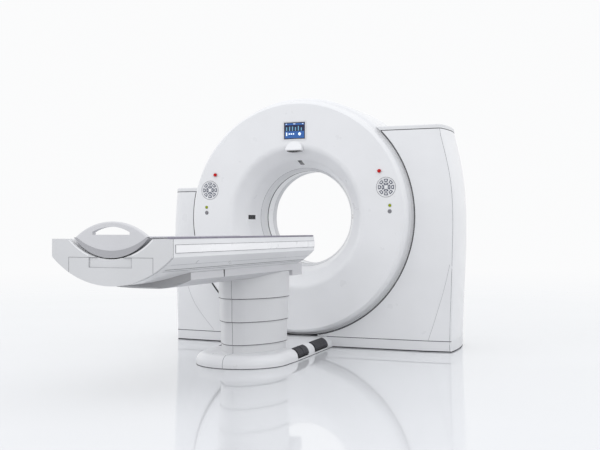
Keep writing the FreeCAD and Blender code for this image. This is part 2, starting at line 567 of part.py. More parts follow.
def stand():
    """The right-hand stand: a cast plate that narrows up to the trunnion bush."""
    foot, head = STAND_FOOT_Y, STAND_HEAD_R * 0.9
    outline = area(on_side(STAND_X0), (-foot, FOOT_T + SEAT), (foot, FOOT_T + SEAT), (head, ISO_Z + 20),
                   ((0, ISO_Z + STAND_HEAD_R), (-head, ISO_Z + 20)))
    window = area(on_side(STAND_X0 - 5), (-foot + 60, 420), (foot - 60, 420), (100, 720), (-100, 720))
    pocket = area(on_side(STAND_X0 - 5), (-foot + 50, 110), (foot - 50, 110), (130, 380), (-130, 380))
    depth = V(STAND_X1 - STAND_X0 + 10, 0, 0)
    plate = outline.extrude(V(STAND_X1 - STAND_X0, 0, 0)).cut([window.extrude(depth), pocket.extrude(depth)])
    return plate.cut(rod(BUSH_R + 0.1, V(STAND_X0 - 5, 0, ISO_Z), V(STAND_X1 + 5, 0, ISO_Z)))


def trunnion_bush():
    """The flanged bush in the right-hand stand."""
    bush = rod(BUSH_R, V(STAND_X0, 0, ISO_Z), V(STAND_X1 + SEAT, 0, ISO_Z))
    flange = rod(BUSH_R + 25, V(STAND_X1 + SEAT, 0, ISO_Z), V(STAND_X1 + 10, 0, ISO_Z))
    bore = rod(TRUNNION_R + RUNNING, V(STAND_X0 - 5, 0, ISO_Z), V(STAND_X1 + 20, 0, ISO_Z))
    return bush.fuse(flange).cut(bore)


def tilt_gearmotor():
    """The hollow-shaft gearbox on the longer trunnion, with its motor hanging below."""
    x0, x1 = STAND_X1 + 10 + SEAT, STAND_X1 + 85
    box = block(x0, x1, -105, 105, ISO_Z - 120, ISO_Z + 105)
    box = box.makeFillet(20, [e for e in box.Edges if abs(e.tangentAt(e.FirstParameter).x) > 0.9])
    middle = (x0 + x1) / 2
    motor = rod(36, V(middle, 0, ISO_Z - 400), V(middle, 0, ISO_Z - 118))
    bore = rod(TRUNNION_R + RUNNING, V(x0 - 5, 0, ISO_Z), V(TRUNNION_END_RIGHT + 1, 0, ISO_Z))
    return box.fuse(motor).cut(bore)


def side_section(z, corner, bulge, rear, rounding, inner_x, inset, spare):
    """One level section of a right-hand side cover, lengthened at the back by some spare."""
    front = FRONT_Y + inset
    corner, bulge, rear = (STAND_X0 + beyond - inset for beyond in (corner, bulge, rear))
    r = rounding - inset
    start = corner - r
    half = r * (1 - math.sqrt(0.5))
    side_end = [(rear, BACK_Y + spare)] if spare else []
    return Part.Wire(path(on_plan(z), (inner_x, front), (start, front),
                          ((start + r - half, front + half), (corner, front + r)),
                          ((bulge, 0), (rear, BACK_Y)), *side_end,
                          (inner_x, BACK_Y + spare), (inner_x, front)))


def facet_wedge(facet, drop):
    """What the styling facet takes off a front wall; drop is how far behind the skin it lies."""
    (top_x, top_z), (foot_x, foot_z), slope = facet
    top = V(STAND_X0 + top_x, FRONT_Y + drop, top_z)
    foot = V(STAND_X0 + foot_x, FRONT_Y + drop, foot_z)
    along = (foot - top).normalize()
    outward = V(-along.z, 0, along.x)
    lean = outward * math.cos(math.radians(slope)) + Y_AXIS * math.sin(math.radians(slope))
    reach, run = 800, 1600
    start = top - along * (run / 4)
    corners = [start, start + lean * reach, start + outward * reach - Y_AXIS * 40, start - Y_AXIS * 40]
    return Part.Face(Part.makePolygon(corners + [start])).extrude(along * run)


def lengthened(sections, spare):
    """The table of sections with one more at each end, carried on in a straight line."""
    def beyond(end, inner, z):
        share = (z - end[0]) / (inner[0] - end[0])
        return tuple(a + (b - a) * share for a, b in zip(end, inner))
    foot, top = sections[0], sections[-1]
    return ((beyond(foot, sections[1], foot[0] - spare),) + sections
            + (beyond(top, sections[-2], top[0] + spare),))


def side_solid(sections, rounding, facet, inset, inner_x):
    """The body of a right-hand side cover as a solid, longer than the cover at its open edges."""
    spare = 20
    wires = [side_section(z, corner, bulge, rear, rounding, inner_x, inset, spare)
             for z, corner, bulge, rear in lengthened(sections, spare)]
    return Part.makeLoft(wires, True, False).cut(facet_wedge(facet, inset))


def side_cover(sections, rounding, facet):
    """Front and outer wall of a right-hand side cover, cut out round the ring."""
    outer = side_solid(sections, rounding, facet, 0, INNER_X)
    outer = outer.common(block(0, FAR, -FAR, BACK_Y - SIDE_WALL - SEAT, sections[0][0], sections[-1][0]))
    return outer.cut([side_solid(sections, rounding, facet, SIDE_WALL, INNER_X - 20), tilt_space()])


def rear_cover(sections, rounding, facet):
    """The flat panel that closes a right-hand side cover at the back."""
    outer = side_solid(sections, rounding, facet, 0, INNER_X)
    slab = block(0, FAR, BACK_Y - SIDE_WALL, BACK_Y, sections[0][0], sections[-1][0])
    return outer.common(slab).cut(tilt_space())


def top_cap(sections, rounding):
    """The lid of a right-hand side cover, hollow underneath."""
    z, corner, bulge, rear = sections[-1]
    z0 = z + SEAT
    outer = Part.Face(side_section(z0, corner, bulge, rear, rounding, INNER_X, 0, 0))
    outer = outer.extrude(V(0, 0, CAP_H))
    rim = [e for e in outer.Edges if e.BoundBox.ZMin > z0 + CAP_H - 1 and e.BoundBox.XMax > INNER_X + 1]
    outer = outer.makeFillet(CAP_ROUND, rim)
    hollow = Part.Face(side_section(z0 - 5, corner, bulge, rear, rounding, INNER_X - 20, 10, 0))
    hollow = hollow.extrude(V(0, 0, CAP_H - 5)).cut(block(0, FAR, BACK_Y - 10, BACK_Y + 5, z0 - 10, FAR))
    return outer.cut([hollow, tilt_space()])


def kick_panel(sections, rounding, facet):
    """The C-shaped skirt under a right-hand side cover, reaching to the middle plane."""
    _, corner, bulge, rear = sections[0]

    def solid(inset, z0, z1, x0):
        wire = side_section(z0, corner, bulge, rear, rounding, x0, inset, 0)
        return Part.Face(wire).extrude(V(0, 0, z1 - z0)).cut(facet_wedge(facet, inset))
    hollow = solid(SIDE_WALL, KICK_Z0 - 10, KICK_TOP + 10, -20)
    hollow = hollow.cut(block(-50, FAR, BACK_Y - SIDE_WALL, BACK_Y + 5, -50, KICK_TOP + 50))
    return solid(0, KICK_Z0, KICK_TOP, SEAT / 2).cut(hollow)


def make_fixed_gantry():
    """The floor frame, stands, tilt drive and the fixed covers."""
    right = (RIGHT_SIDE, RIGHT_ROUND, RIGHT_FACET)
    left = (LEFT_SIDE, LEFT_ROUND, LEFT_FACET)
    save("floor_frame", floor_frame())
    save("gantry_stands", stand(), mirrored_x(stand()))
    save("trunnion_bushes", trunnion_bush(), mirrored_x(trunnion_bush()))
    save("tilt_gearmotor", tilt_gearmotor())
    save("right_cover", side_cover(*right))
    save("left_cover", mirrored_x(side_cover(*left)))
    save("rear_covers", rear_cover(*right), mirrored_x(rear_cover(*left)))
    save("top_caps", top_cap(*right[:2]), mirrored_x(top_cap(*left[:2])))
    save("kick_panels", kick_panel(*right), mirrored_x(kick_panel(*left)))


# ---------------------------------------------------------------- table base and column
def base_taper():
    """How far the straight sides of the base turn from the Y axis, in radians."""
    return math.atan((BASE_HALF_W - BASE_GANTRY_HALF_W) / (FRONT_Y - SEAT - BASE_STRAIGHT_Y))


def base_outline(z, inset):
    """The floor outline of the table base: a round foot end and sides that taper to the ring."""
    r, turn, end = BASE_HALF_W - inset, base_taper(), FRONT_Y - SEAT
    centre_x = BASE_HALF_W - BASE_BEND_R
    centre_y = BASE_STRAIGHT_Y - BASE_BEND_R * math.tan(turn / 2)

    def on_bend(angle):
        reach = BASE_BEND_R - inset
        return (centre_x + reach * math.cos(angle), centre_y + reach * math.sin(angle))
    bend, bend_end = on_bend(turn / 2), on_bend(turn)
    side = bend_end[0] - (end - bend_end[1]) * math.tan(turn)
    part_way, nose = r * math.sqrt(0.5), BASE_END_Y + inset
    right = [((part_way, BASE_NOSE_Y - part_way), (r, BASE_NOSE_Y)), (r, centre_y), (bend, bend_end), (side, end)]
    left = [(-side, end), (-bend_end[0], bend_end[1]), ((-bend[0], bend[1]), (-r, centre_y)),
            (-r, BASE_NOSE_Y), ((-part_way, BASE_NOSE_Y - part_way), (0, nose))]
    return area(on_plan(z), (0, nose), *right, *left)


def base_block(z0, inset):
    """The base as a solid with its rounded shoulder."""
    solid = base_outline(z0, inset).extrude(V(0, 0, BASE_H - inset - z0))
    top = [e for e in solid.Edges if e.BoundBox.ZMin > BASE_H - inset - 1 and e.BoundBox.YMin < FRONT_Y - 5]
    return solid.makeFillet(BASE_SHOULDER - inset, top)


def on_shoulder(shape, y):
    """Moves a shape drawn at the origin to the right-hand edge of the base at y."""
    edge_x = BASE_HALF_W - (y - BASE_STRAIGHT_Y) * math.tan(base_taper())
    shape = shape.copy()
    shape.rotate(V(0, 0, 0), Z_AXIS, math.degrees(base_taper()))
    shape.translate(V(edge_x, y, 0))
    return shape


def pedal_band(length):
    """The tread of a pedal, following the shoulder and a little proud of it."""
    cx, cz = -BASE_SHOULDER, BASE_H - BASE_SHOULDER
    r1 = BASE_SHOULDER + PEDAL_PROUD
    r0 = r1 - PEDAL_T

    def at(r, degrees):
        a = math.radians(degrees)
        return (cx + r * math.cos(a), cz + r * math.sin(a))
    face = area(on_front(-length / 2), at(r0, 2), at(r1, 2), (at(r1, 41), at(r1, 80)),
                at(r0, 80), (at(r0, 41), at(r0, 2)))
    return face.extrude(V(0, length, 0))


def pedal_slot(length):
    """The opening in the base cover for a pedal and its swing."""
    return block(-BASE_SHOULDER + 6, 12, -length / 2 - 6, length / 2 + 6, 15, BASE_H + 10)


ROCKER_AXIS = (-BASE_SHOULDER - 2, 42)       # end of the rocker's hub, and its height
HINGE_AXIS = (-BASE_SHOULDER + 8, 66)        # place of the release pedal's hinge


def height_pedal():
    """A rocker: it turns on a cross pin at its middle, one end for up and one for down."""
    hub_x, z = ROCKER_AXIS
    hub = rod(PEDAL_HUB_R, V(hub_x, 0, z), V(-8, 0, z))
    ridge = pedal_band(8)
    ridge.translate(V(2, 0, 2))
    bore = rod(PEDAL_PIN_R + RUNNING, V(hub_x - 1, 0, z), V(-14, 0, z))
    return pedal_band(HEIGHT_PEDAL_L).fuse([hub, ridge]).cut(bore)


def release_pedal():
    """A flap hinged along its upper edge."""
    x, z = HINGE_AXIS
    half = RELEASE_PEDAL_L / 2
    barrel = rod(PEDAL_HUB_R, V(x, -half, z), V(x, half, z))
    bore = rod(PEDAL_PIN_R + RUNNING, V(x, -half - 1, z), V(x, half + 1, z))
    return pedal_band(RELEASE_PEDAL_L).fuse(barrel).cut(bore)


def pedal_posts():
    """What the right-hand pedals turn on: a bracket and pin for each."""
    hub_x, z = ROCKER_AXIS
    rocker_post = block(hub_x - 14, hub_x - SEAT, -14, 14, PLATE_T - 1, z + 9)
    rocker_pin = rod(PEDAL_PIN_R, V(hub_x - 5, 0, z), V(-15, 0, z))
    x, z = HINGE_AXIS
    half = RELEASE_PEDAL_L / 2 + SEAT
    ends = [block(x - 8, x + 8, s0, s1, PLATE_T - 1, z + 8) for s0, s1 in ((-half - 8, -half), (half, half + 8))]
    hinge_pin = rod(PEDAL_PIN_R, V(x, -half - 4, z), V(x, half + 4, z))
    return ([on_shoulder(s, HEIGHT_PEDAL_Y) for s in (rocker_post, rocker_pin)]
            + [on_shoulder(s, RELEASE_PEDAL_Y) for s in ends + [hinge_pin]])


def column_outline(z, inset):
    """The plan of the column: a basket arch to the foot end and a square rear."""
    half_w, tip, rear = COLUMN_HALF_W - inset, COLUMN_TIP_Y + inset, COLUMN_REAR_Y - inset
    depth = COLUMN_NOSE_Y - COLUMN_TIP_Y
    side_r = ((COLUMN_HALF_W ** 2 + depth ** 2 - 2 * depth * COLUMN_TIP_R)
              / (2 * (COLUMN_HALF_W - COLUMN_TIP_R)))
    side_x, tip_y = COLUMN_HALF_W - side_r, COLUMN_TIP_Y + COLUMN_TIP_R
    turn = math.atan2(COLUMN_NOSE_Y - tip_y, -side_x)

    def on_side_arc(angle):
        return (side_x + (side_r - inset) * math.cos(angle), COLUMN_NOSE_Y - (side_r - inset) * math.sin(angle))

    def on_tip_arc(angle):
        return ((COLUMN_TIP_R - inset) * math.cos(angle), tip_y - (COLUMN_TIP_R - inset) * math.sin(angle))
    meet, on_nose, on_tip = on_side_arc(turn), on_side_arc(turn / 2), on_tip_arc((turn + math.pi / 2) / 2)
    c = COLUMN_CORNER_R - inset
    k = c * (1 - math.sqrt(0.5))
    return area(on_plan(z), (0, tip), (on_tip, meet), (on_nose, (half_w, COLUMN_NOSE_Y)), (half_w, rear - c),
                ((half_w - k, rear - k), (half_w - c, rear)), (c - half_w, rear),
                ((k - half_w, rear - k), (-half_w, rear - c)), (-half_w, COLUMN_NOSE_Y),
                ((-on_nose[0], on_nose[1]), (-meet[0], meet[1])), ((-on_tip[0], on_tip[1]), (0, tip)))


def sleeve(step, z0, z1, lip):
    """One telescoping cover of the column; its top lip guides it inside the next one out."""
    inset = step * SLEEVE_STEP
    tube = column_outline(z0, inset).extrude(V(0, 0, z1 - z0))
    if lip:
        tube = tube.fuse(column_outline(z1 - LIP_H, inset - LIP).extrude(V(0, 0, LIP_H)))
    return tube.cut(column_outline(z0 - 1, inset + SLEEVE_WALL).extrude(V(0, 0, z1 - z0 + 2)))


def lift_tube(stage, z0, z1):
    """One stage of the round lifting column inside the covers."""
    outer = LIFT_R - stage * (LIFT_WALL + LIFT_GAP)
    at = V(0, LIFT_Y, z0)
    return Part.makeCylinder(outer, z1 - z0, at).cut(Part.makeCylinder(outer - LIFT_WALL, z1 - z0, at))


def lift_motor():
    """The motor and gear head beside the lifting column."""
    at = V(0, MOTOR_Y, PLATE_T + SEAT)
    motor = Part.makeCylinder(MOTOR_R, MOTOR_TOP - at.z, at)
    reach = LIFT_Y + LIFT_R + SEAT
    return motor.fuse(block(-40, 40, reach + 3, MOTOR_Y, at.z, at.z + 70))


def along_table(radius, y0, y1):
    """A long round bar on the axis of the housing's curved underside."""
    return rod(radius, V(0, y0, ARC_Z), V(0, y1, ARC_Z))


def make_table_base():
    """The floor plate, base cover, pedals, column covers and lift."""
    posts = pedal_posts()
    plate = base_outline(0, BASE_WALL + SEAT).extrude(V(0, 0, PLATE_T))
    holes = [Part.makeCylinder(TABLE_BOLT_R, PLATE_T + 2, V(x, y, -1))
             for x in (-TABLE_BOLT_X, TABLE_BOLT_X) for y in (TABLE_BOLT_Y0, TABLE_BOLT_Y1)]
    save("table_floor_plate", plate.fuse(posts + [mirrored_x(p) for p in posts]).cut(holes))

    column_hole = column_outline(BASE_H - 20, 3 * SLEEVE_STEP - SEAT).extrude(V(0, 0, 40))
    slots = [on_shoulder(pedal_slot(HEIGHT_PEDAL_L), HEIGHT_PEDAL_Y),
             on_shoulder(pedal_slot(RELEASE_PEDAL_L), RELEASE_PEDAL_Y)]
    seam = block(-0.5, 0.5, BASE_END_Y - 5, 0, -5, BASE_H + 5)
    shell = base_block(0, 0).cut(base_block(-5, BASE_WALL))
    save("table_base_cover", shell.cut([column_hole, seam] + slots + [mirrored_x(s) for s in slots]))

    for name, pedal, y in (("height_pedal", height_pedal(), HEIGHT_PEDAL_Y),
                           ("release_pedal", release_pedal(), RELEASE_PEDAL_Y)):
        placed = on_shoulder(pedal, y)
        save(name + "_right", placed)
        save(name + "_left", mirrored_x(placed))

    for name, (step, z0, z1) in SLEEVES.items():
        save(name, sleeve(step, z0, z1, True))
    for name, (stage, z0, z1) in LIFT_STAGES.items():
        save(name, lift_tube(stage, z0, z1))
    save("lift_motor", lift_motor())
    under = along_table(ARC_R + CARRIAGE_T + SEAT, CARRIAGE_Y0, CARRIAGE_Y1)
    save("column_cover_top", sleeve(0, TOP_SLEEVE_Z, ARC_Z - ARC_R + 60, False).cut(under))
    save("lift_tube_inner", lift_tube(2, LIFT_INNER_Z, ARC_Z - ARC_R).cut(under))


# ---------------------------------------------------------------- table top
def arc_z(radius, x, centre_z=ARC_Z):
    """Height of the lower half of a circle at x."""
    return centre_z - math.sqrt(radius ** 2 - x ** 2)


def housing_face(y, inset):
    """The outer section of the table housing."""
    w, r = HOUSING_HALF_W - inset, ARC_R - inset
    corner = arc_z(r, w)
    return area(on_front(y), (-w, TOP_Z), (-w, corner), ((0, ARC_Z - r), (w, corner)), (w, TOP_Z))


def bowl(spare=0.0):
    """What the trough takes off the housing; spare makes it larger all round."""
    centre_z = BOWL_Z + BOWL_R
    return rod(BOWL_R + spare, V(0, HOUSING_FOOT_Y - 20, centre_z), V(0, HOUSING_HEAD_Y + 20, centre_z))


def table_housing():
    """The long hollow beam with the trough in its top, two rails in it and fine lines underneath."""
    y0, y1 = HOUSING_FOOT_Y + CAP_T, HOUSING_HEAD_Y
    outer = housing_face(y0, 0).extrude(V(0, y1 - y0, 0))
    hollow = housing_face(y0 - 1, HOUSING_WALL).extrude(V(0, y1 - y0 - HOUSING_WALL, 0))
    top = block(-ARC_R, ARC_R, y0 - 5, y1 + 5, TOP_Z - HOUSING_WALL, TOP_Z + 10)
    lines = []
    for degrees in GROOVES:
        line = block(-GROOVE / 2, GROOVE / 2, y0 + 40, y1 + 1, ARC_Z - ARC_R - GROOVE, ARC_Z - ARC_R + GROOVE)
        line.rotate(V(0, 0, ARC_Z), Y_AXIS, degrees)
        lines += [line, mirrored_x(line)]
    shell = outer.cut([hollow.cut([top, bowl(HOUSING_WALL)]), bowl()] + lines)
    half = RAIL_W / 2
    rail = block(RAIL_X - half, RAIL_X + half, y0 + 10, y1 - 6, BOWL_Z - 1, RAIL_TOP_Z)
    return shell.fuse([rail, mirrored_x(rail)])


def foot_cap():
    """The moulding that closes the foot end, with its bowl and the recess for the panel."""
    cap = housing_face(HOUSING_FOOT_Y, 0).extrude(V(0, CAP_T - SEAT, 0))
    return cap.cut([bowl(), panel_solid(SEAT)])


def panel_solid(spare):
    """The lower foot panel, or its recess when there is some spare."""
    y0 = HOUSING_FOOT_Y - (5 if spare else 0)
    w, low = PANEL_HALF_W + spare, ARC_Z - ARC_R - 10
    face = area(on_front(y0), (-w, low), (w, low), (w, PANEL_TOP_Z + spare), (-w, PANEL_TOP_Z + spare))
    return face.extrude(V(0, HOUSING_FOOT_Y + PANEL_T + spare - y0, 0))


def foot_panel():
    """The clip-on panel under the bowl, with a shallow grip."""
    grip = block(-NOTCH_HALF_W, NOTCH_HALF_W, HOUSING_FOOT_Y - 5, HOUSING_FOOT_Y + NOTCH_DEPTH, NOTCH_Z, TOP_Z)
    trimmed = panel_solid(0).common(housing_face(HOUSING_FOOT_Y - 5, 0).extrude(V(0, 60, 0)))
    return trimmed.cut([bowl(), grip])


def under_layer(y0, y1):
    """The curved layer that hugs the underside of the housing between two places."""
    layer = along_table(ARC_R + CARRIAGE_T, y0, y1).cut(along_table(ARC_R + SEAT, y0 - 1, y1 + 1))
    return layer.common(block(-CARRIAGE_HALF_W, CARRIAGE_HALF_W, y0, y1, 0, ARC_Z - ARC_R + 120))


def carriage():
    """The carriage between column and housing, boxed at its head end."""
    box = block(-CARRIAGE_HALF_W, CARRIAGE_HALF_W, HEAD_BOX_Y, CARRIAGE_Y1, HEAD_BOX_Z, ARC_Z - ARC_R + 55)
    box = box.cut(along_table(ARC_R + SEAT, HEAD_BOX_Y - 5, CARRIAGE_Y1 + 5))
    return under_layer(CARRIAGE_Y0, CARRIAGE_Y1).fuse(box)


def belly_cover():
    """The boat-shaped cover under the foot half of the housing."""
    end = CARRIAGE_Y0 - BELLY_GAP
    w = CARRIAGE_HALF_W
    bend = (w * 0.74, BELLY_Y0 + (BELLY_CREASE_Y - BELLY_Y0) * 0.36)
    plan = area(on_plan(500), (0, BELLY_Y0), (bend, (w, BELLY_CREASE_Y)), (w, end), (-w, end),
                (-w, BELLY_CREASE_Y), ((-bend[0], bend[1]), (0, BELLY_Y0)))
    keel = ARC_Z - ARC_R - CARRIAGE_T
    side = area(on_side(-w - 5), (BELLY_Y0 - 5, ARC_Z), (BELLY_Y0 - 5, keel + 26),
                ((BELLY_Y0 + 140, keel + 6), (BELLY_Y0 + 320, keel - 1)), (end + 5, keel - 1), (end + 5, ARC_Z))
    hull = under_layer(BELLY_Y0, end).common(plan.extrude(V(0, 0, 400)))
    return hull.common(side.extrude(V(2 * w + 10, 0, 0)))


def arc_through(half_w, edge_z, low_z):
    """Radius and centre height of the arc through (half_w, edge_z) and (0, low_z)."""
    rise = edge_z - low_z
    radius = (half_w ** 2 + rise ** 2) / (2 * rise)
    return radius, low_z + radius


def crescent(y0, y1):
    """The curved body of the cradle."""
    face = area(on_front(y0), (-CRADLE_HALF_W, CRADLE_EDGE_Z), ((0, CRADLE_Z), (CRADLE_HALF_W, CRADLE_EDGE_Z)),
                (CRADLE_IN_HALF_W, CRADLE_EDGE_Z), ((0, CRADLE_IN_Z), (-CRADLE_IN_HALF_W, CRADLE_EDGE_Z)))
    return face.extrude(V(0, y1 - y0, 0))


def cradle():
    """The sliding cradle with the two runners that ride on the rails."""
    radius, centre_z = arc_through(CRADLE_HALF_W, CRADLE_EDGE_Z, CRADLE_Z)
    half = RAIL_W / 2
    runner = block(RAIL_X - half, RAIL_X + half, CRADLE_Y0 + 60, CRADLE_Y1,
                   RAIL_TOP_Z + SEAT, arc_z(radius, RAIL_X, centre_z) + 6)
    return crescent(CRADLE_Y0, CRADLE_Y1).fuse([runner, mirrored_x(runner)])


def mat():
    """The thin mat that lies in the cradle."""
    radius, centre_z = arc_through(CRADLE_IN_HALF_W, CRADLE_EDGE_Z, CRADLE_IN_Z)
    axis = (V(0, MAT_Y0, centre_z), V(0, MAT_Y1, centre_z))
    layer = rod(radius - SEAT, *axis).cut(rod(radius - SEAT - MAT_T, *axis))
    return layer.common(block(-radius, radius, MAT_Y0, MAT_Y1, 0, CRADLE_EDGE_Z - 2))


def handle():
    """The arched end plate of the cradle with its finger hole."""
    radius, centre_z = arc_through(CRADLE_IN_HALF_W, CRADLE_EDGE_Z, CRADLE_IN_Z)
    w, z = CRADLE_IN_HALF_W - 1, CRADLE_EDGE_Z
    face = area(on_front(HANDLE_Y0), (-w, z), ((0, CRADLE_IN_Z), (w, z)),
                (HANDLE_HALF_W, z + 4), ((0, HANDLE_TOP_Z), (-HANDLE_HALF_W, z + 4)))
    plate = face.extrude(V(0, HANDLE_Y1 - HANDLE_Y0, 0))
    top = [e for e in plate.Edges if e.BoundBox.ZMax > z + 60]
    plate = plate.makeFillet(11, top)
    plate = plate.common(rod(radius - SEAT, V(0, HANDLE_Y0 - 1, centre_z), V(0, HANDLE_Y1 + 1, centre_z)).fuse(
        block(-radius, radius, HANDLE_Y0 - 1, HANDLE_Y1 + 1, z + SEAT, z + 200)))
    hole = area(on_front(HANDLE_Y0 - 5), (-HANDLE_HOLE_HALF_W, HANDLE_HOLE_Z0), (HANDLE_HOLE_HALF_W, HANDLE_HOLE_Z0),
                (HANDLE_HOLE_HALF_W, HANDLE_HOLE_Z0 + 14),
                ((0, HANDLE_HOLE_Z1), (-HANDLE_HOLE_HALF_W, HANDLE_HOLE_Z0 + 14)))
    return plate.cut(hole.extrude(V(0, 100, 0)))


def make_table_top():
    """The housing, carriage and cradle."""
    strip = block(HOUSING_HALF_W + SEAT, HOUSING_HALF_W + STRIP_T, STRIP_Y0, HOUSING_HEAD_Y, STRIP_Z0, STRIP_Z1)
    guard = block(GUARD_X0, GUARD_X1, HOUSING_FOOT_Y + CAP_T, HOUSING_HEAD_Y - 6, TOP_Z + SEAT, TOP_Z + GUARD_H)
    guard = guard.makeFillet(4, [e for e in guard.Edges if e.BoundBox.ZMin > TOP_Z + GUARD_H - 1])
    save("table_housing", table_housing())
    save("foot_cap", foot_cap())
    save("foot_panel", foot_panel())
    save("side_strips", strip, mirrored_x(strip))
    save("edge_guard", guard)
    save("carriage_cover", carriage())
    save("belly_cover", belly_cover())
    save("cradle", cradle())
    save("mat", mat())
    save("handle", handle())


os.makedirs("parts", exist_ok=True)
make_ring_covers()
make_frame_and_rotor()
make_fixed_gantry()
make_table_base()
make_table_top()
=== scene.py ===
"""The look of a CT scanner: finishes, controls, seams, pedals and the studio round it."""

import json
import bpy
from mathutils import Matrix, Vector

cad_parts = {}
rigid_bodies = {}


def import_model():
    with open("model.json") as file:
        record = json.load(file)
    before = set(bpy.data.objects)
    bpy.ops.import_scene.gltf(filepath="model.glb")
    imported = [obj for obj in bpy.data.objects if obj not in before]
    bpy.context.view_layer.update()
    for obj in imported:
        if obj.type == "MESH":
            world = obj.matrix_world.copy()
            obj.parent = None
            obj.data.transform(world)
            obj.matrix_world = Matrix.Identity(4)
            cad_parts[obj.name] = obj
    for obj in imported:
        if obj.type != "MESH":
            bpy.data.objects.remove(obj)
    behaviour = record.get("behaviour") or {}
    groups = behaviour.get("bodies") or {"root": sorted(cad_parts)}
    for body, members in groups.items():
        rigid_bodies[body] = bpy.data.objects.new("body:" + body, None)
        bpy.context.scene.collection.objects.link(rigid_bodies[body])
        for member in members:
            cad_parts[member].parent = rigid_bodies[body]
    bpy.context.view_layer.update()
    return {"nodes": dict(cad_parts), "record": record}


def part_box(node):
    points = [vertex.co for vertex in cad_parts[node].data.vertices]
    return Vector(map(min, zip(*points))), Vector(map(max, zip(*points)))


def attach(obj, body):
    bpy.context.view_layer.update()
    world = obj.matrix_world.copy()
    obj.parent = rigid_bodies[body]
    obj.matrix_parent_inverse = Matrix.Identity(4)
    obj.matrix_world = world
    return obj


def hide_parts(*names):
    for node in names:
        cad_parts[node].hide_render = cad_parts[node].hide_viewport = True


bl_info = {
    "name": "CT scanner",
    "version": (1, 0, 0),
    "blender": (4, 5, 0),
    "location": "3D View > Sidebar > Scanner",
    "description": "Dresses the scanner's frame with its finishes, controls, seams and stage",
    "category": "Object",
}

from math import acos, atan, cos, pi, radians, sin, sqrt, tan

import bmesh
import bpy
from bpy.props import FloatProperty, FloatVectorProperty, IntProperty, PointerProperty
from mathutils import Vector

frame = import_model()
NODES = frame["nodes"]

# places on the frame that its boxes don't give, in metres
ISO_Z = 1.055  # height of the bore axis
FACE_Y = -0.405  # front face of the ring
SWEEP_R = 1.0175  # just over the radius of the hollow that the side covers leave for the ring
TABLE_AXIS_Z = 1.176  # height of the axis of the table's round underside
TABLE_R = 0.538  # radius of that underside
FRONT = Vector((0, -1, 0))
BACKDROP = (0.965, 0.968, 0.972, 1)


# ---- sizes and colours
class ScannerSizes(bpy.types.PropertyGroup):
    """Sizes of the details that are laid on the frame."""
    seam_width: FloatProperty(
        name="Seam width", description="Width of the dark joint between two covers",
        default=0.0042, min=0.0005, max=0.02, unit="LENGTH")
    fine_seam_width: FloatProperty(
        name="Fine seam width", description="Width of the joints on the table's foot end",
        default=0.0022, min=0.0005, max=0.01, unit="LENGTH")
    mat_thickness: FloatProperty(
        name="Mat thickness", description="Thickness of the pad on the cradle between its sewn channels",
        default=0.0096, min=0.004, max=0.0097, unit="LENGTH")
    key_count: IntProperty(
        name="Outer keys", description="Keys in the outer ring of a keypad", default=8, min=3, max=16)
    rib_count: IntProperty(
        name="Pedal ribs", description="Ribs across the height pedal's tread", default=22, min=4, max=60)
    screw_count: IntProperty(
        name="Rear screws", description="Screws up each long edge of a rear cover", default=6, min=2, max=20)


class ScannerColours(bpy.types.PropertyGroup):
    """Colours of the main finishes, as linear values."""
    cover: FloatVectorProperty(
        name="Covers", description="Paint of the moulded covers", subtype="COLOR", size=3,
        default=(0.775, 0.78, 0.795), min=0, max=1)
    grey: FloatVectorProperty(
        name="Light grey", description="Grey of the carriage and belly cover", subtype="COLOR", size=3,
        default=(0.62, 0.62, 0.64), min=0, max=1)
    # this dark also paints shade: the lines where the kick panels and the base meet the floor, and the gap
    # behind the belly
    dark: FloatVectorProperty(
        name="Joints", description="Dark rubber in the joints", subtype="COLOR", size=3,
        default=(0.045, 0.045, 0.052), min=0, max=1)
    screen: FloatVectorProperty(
        name="Screen", description="Lit blue of the display", subtype="COLOR", size=3,
        default=(0.018, 0.10, 0.34), min=0, max=1)
    floor: FloatVectorProperty(
        name="Floor", description="Pale studio floor", subtype="COLOR", size=3,
        default=(0.715, 0.725, 0.745), min=0, max=1)


# ---- node trees
class Tree:
    """A node tree with a short way to add nodes to it."""

    def __init__(self, tree):
        self.tree = tree
        tree.nodes.clear()

    def feed(self, node, key, value):
        """Links a socket to a node's input, or sets the input to a plain value."""
        if hasattr(value, "is_output"):
            self.tree.links.new(value, node.inputs[key])
        else:
            node.inputs[key].default_value = value

    def node(self, kind, inputs=None, **settings):
        made = self.tree.nodes.new(kind)
        for key, value in settings.items():
            setattr(made, key, value)
        for key, value in (inputs or {}).items():
            self.feed(made, key, value)
        return made


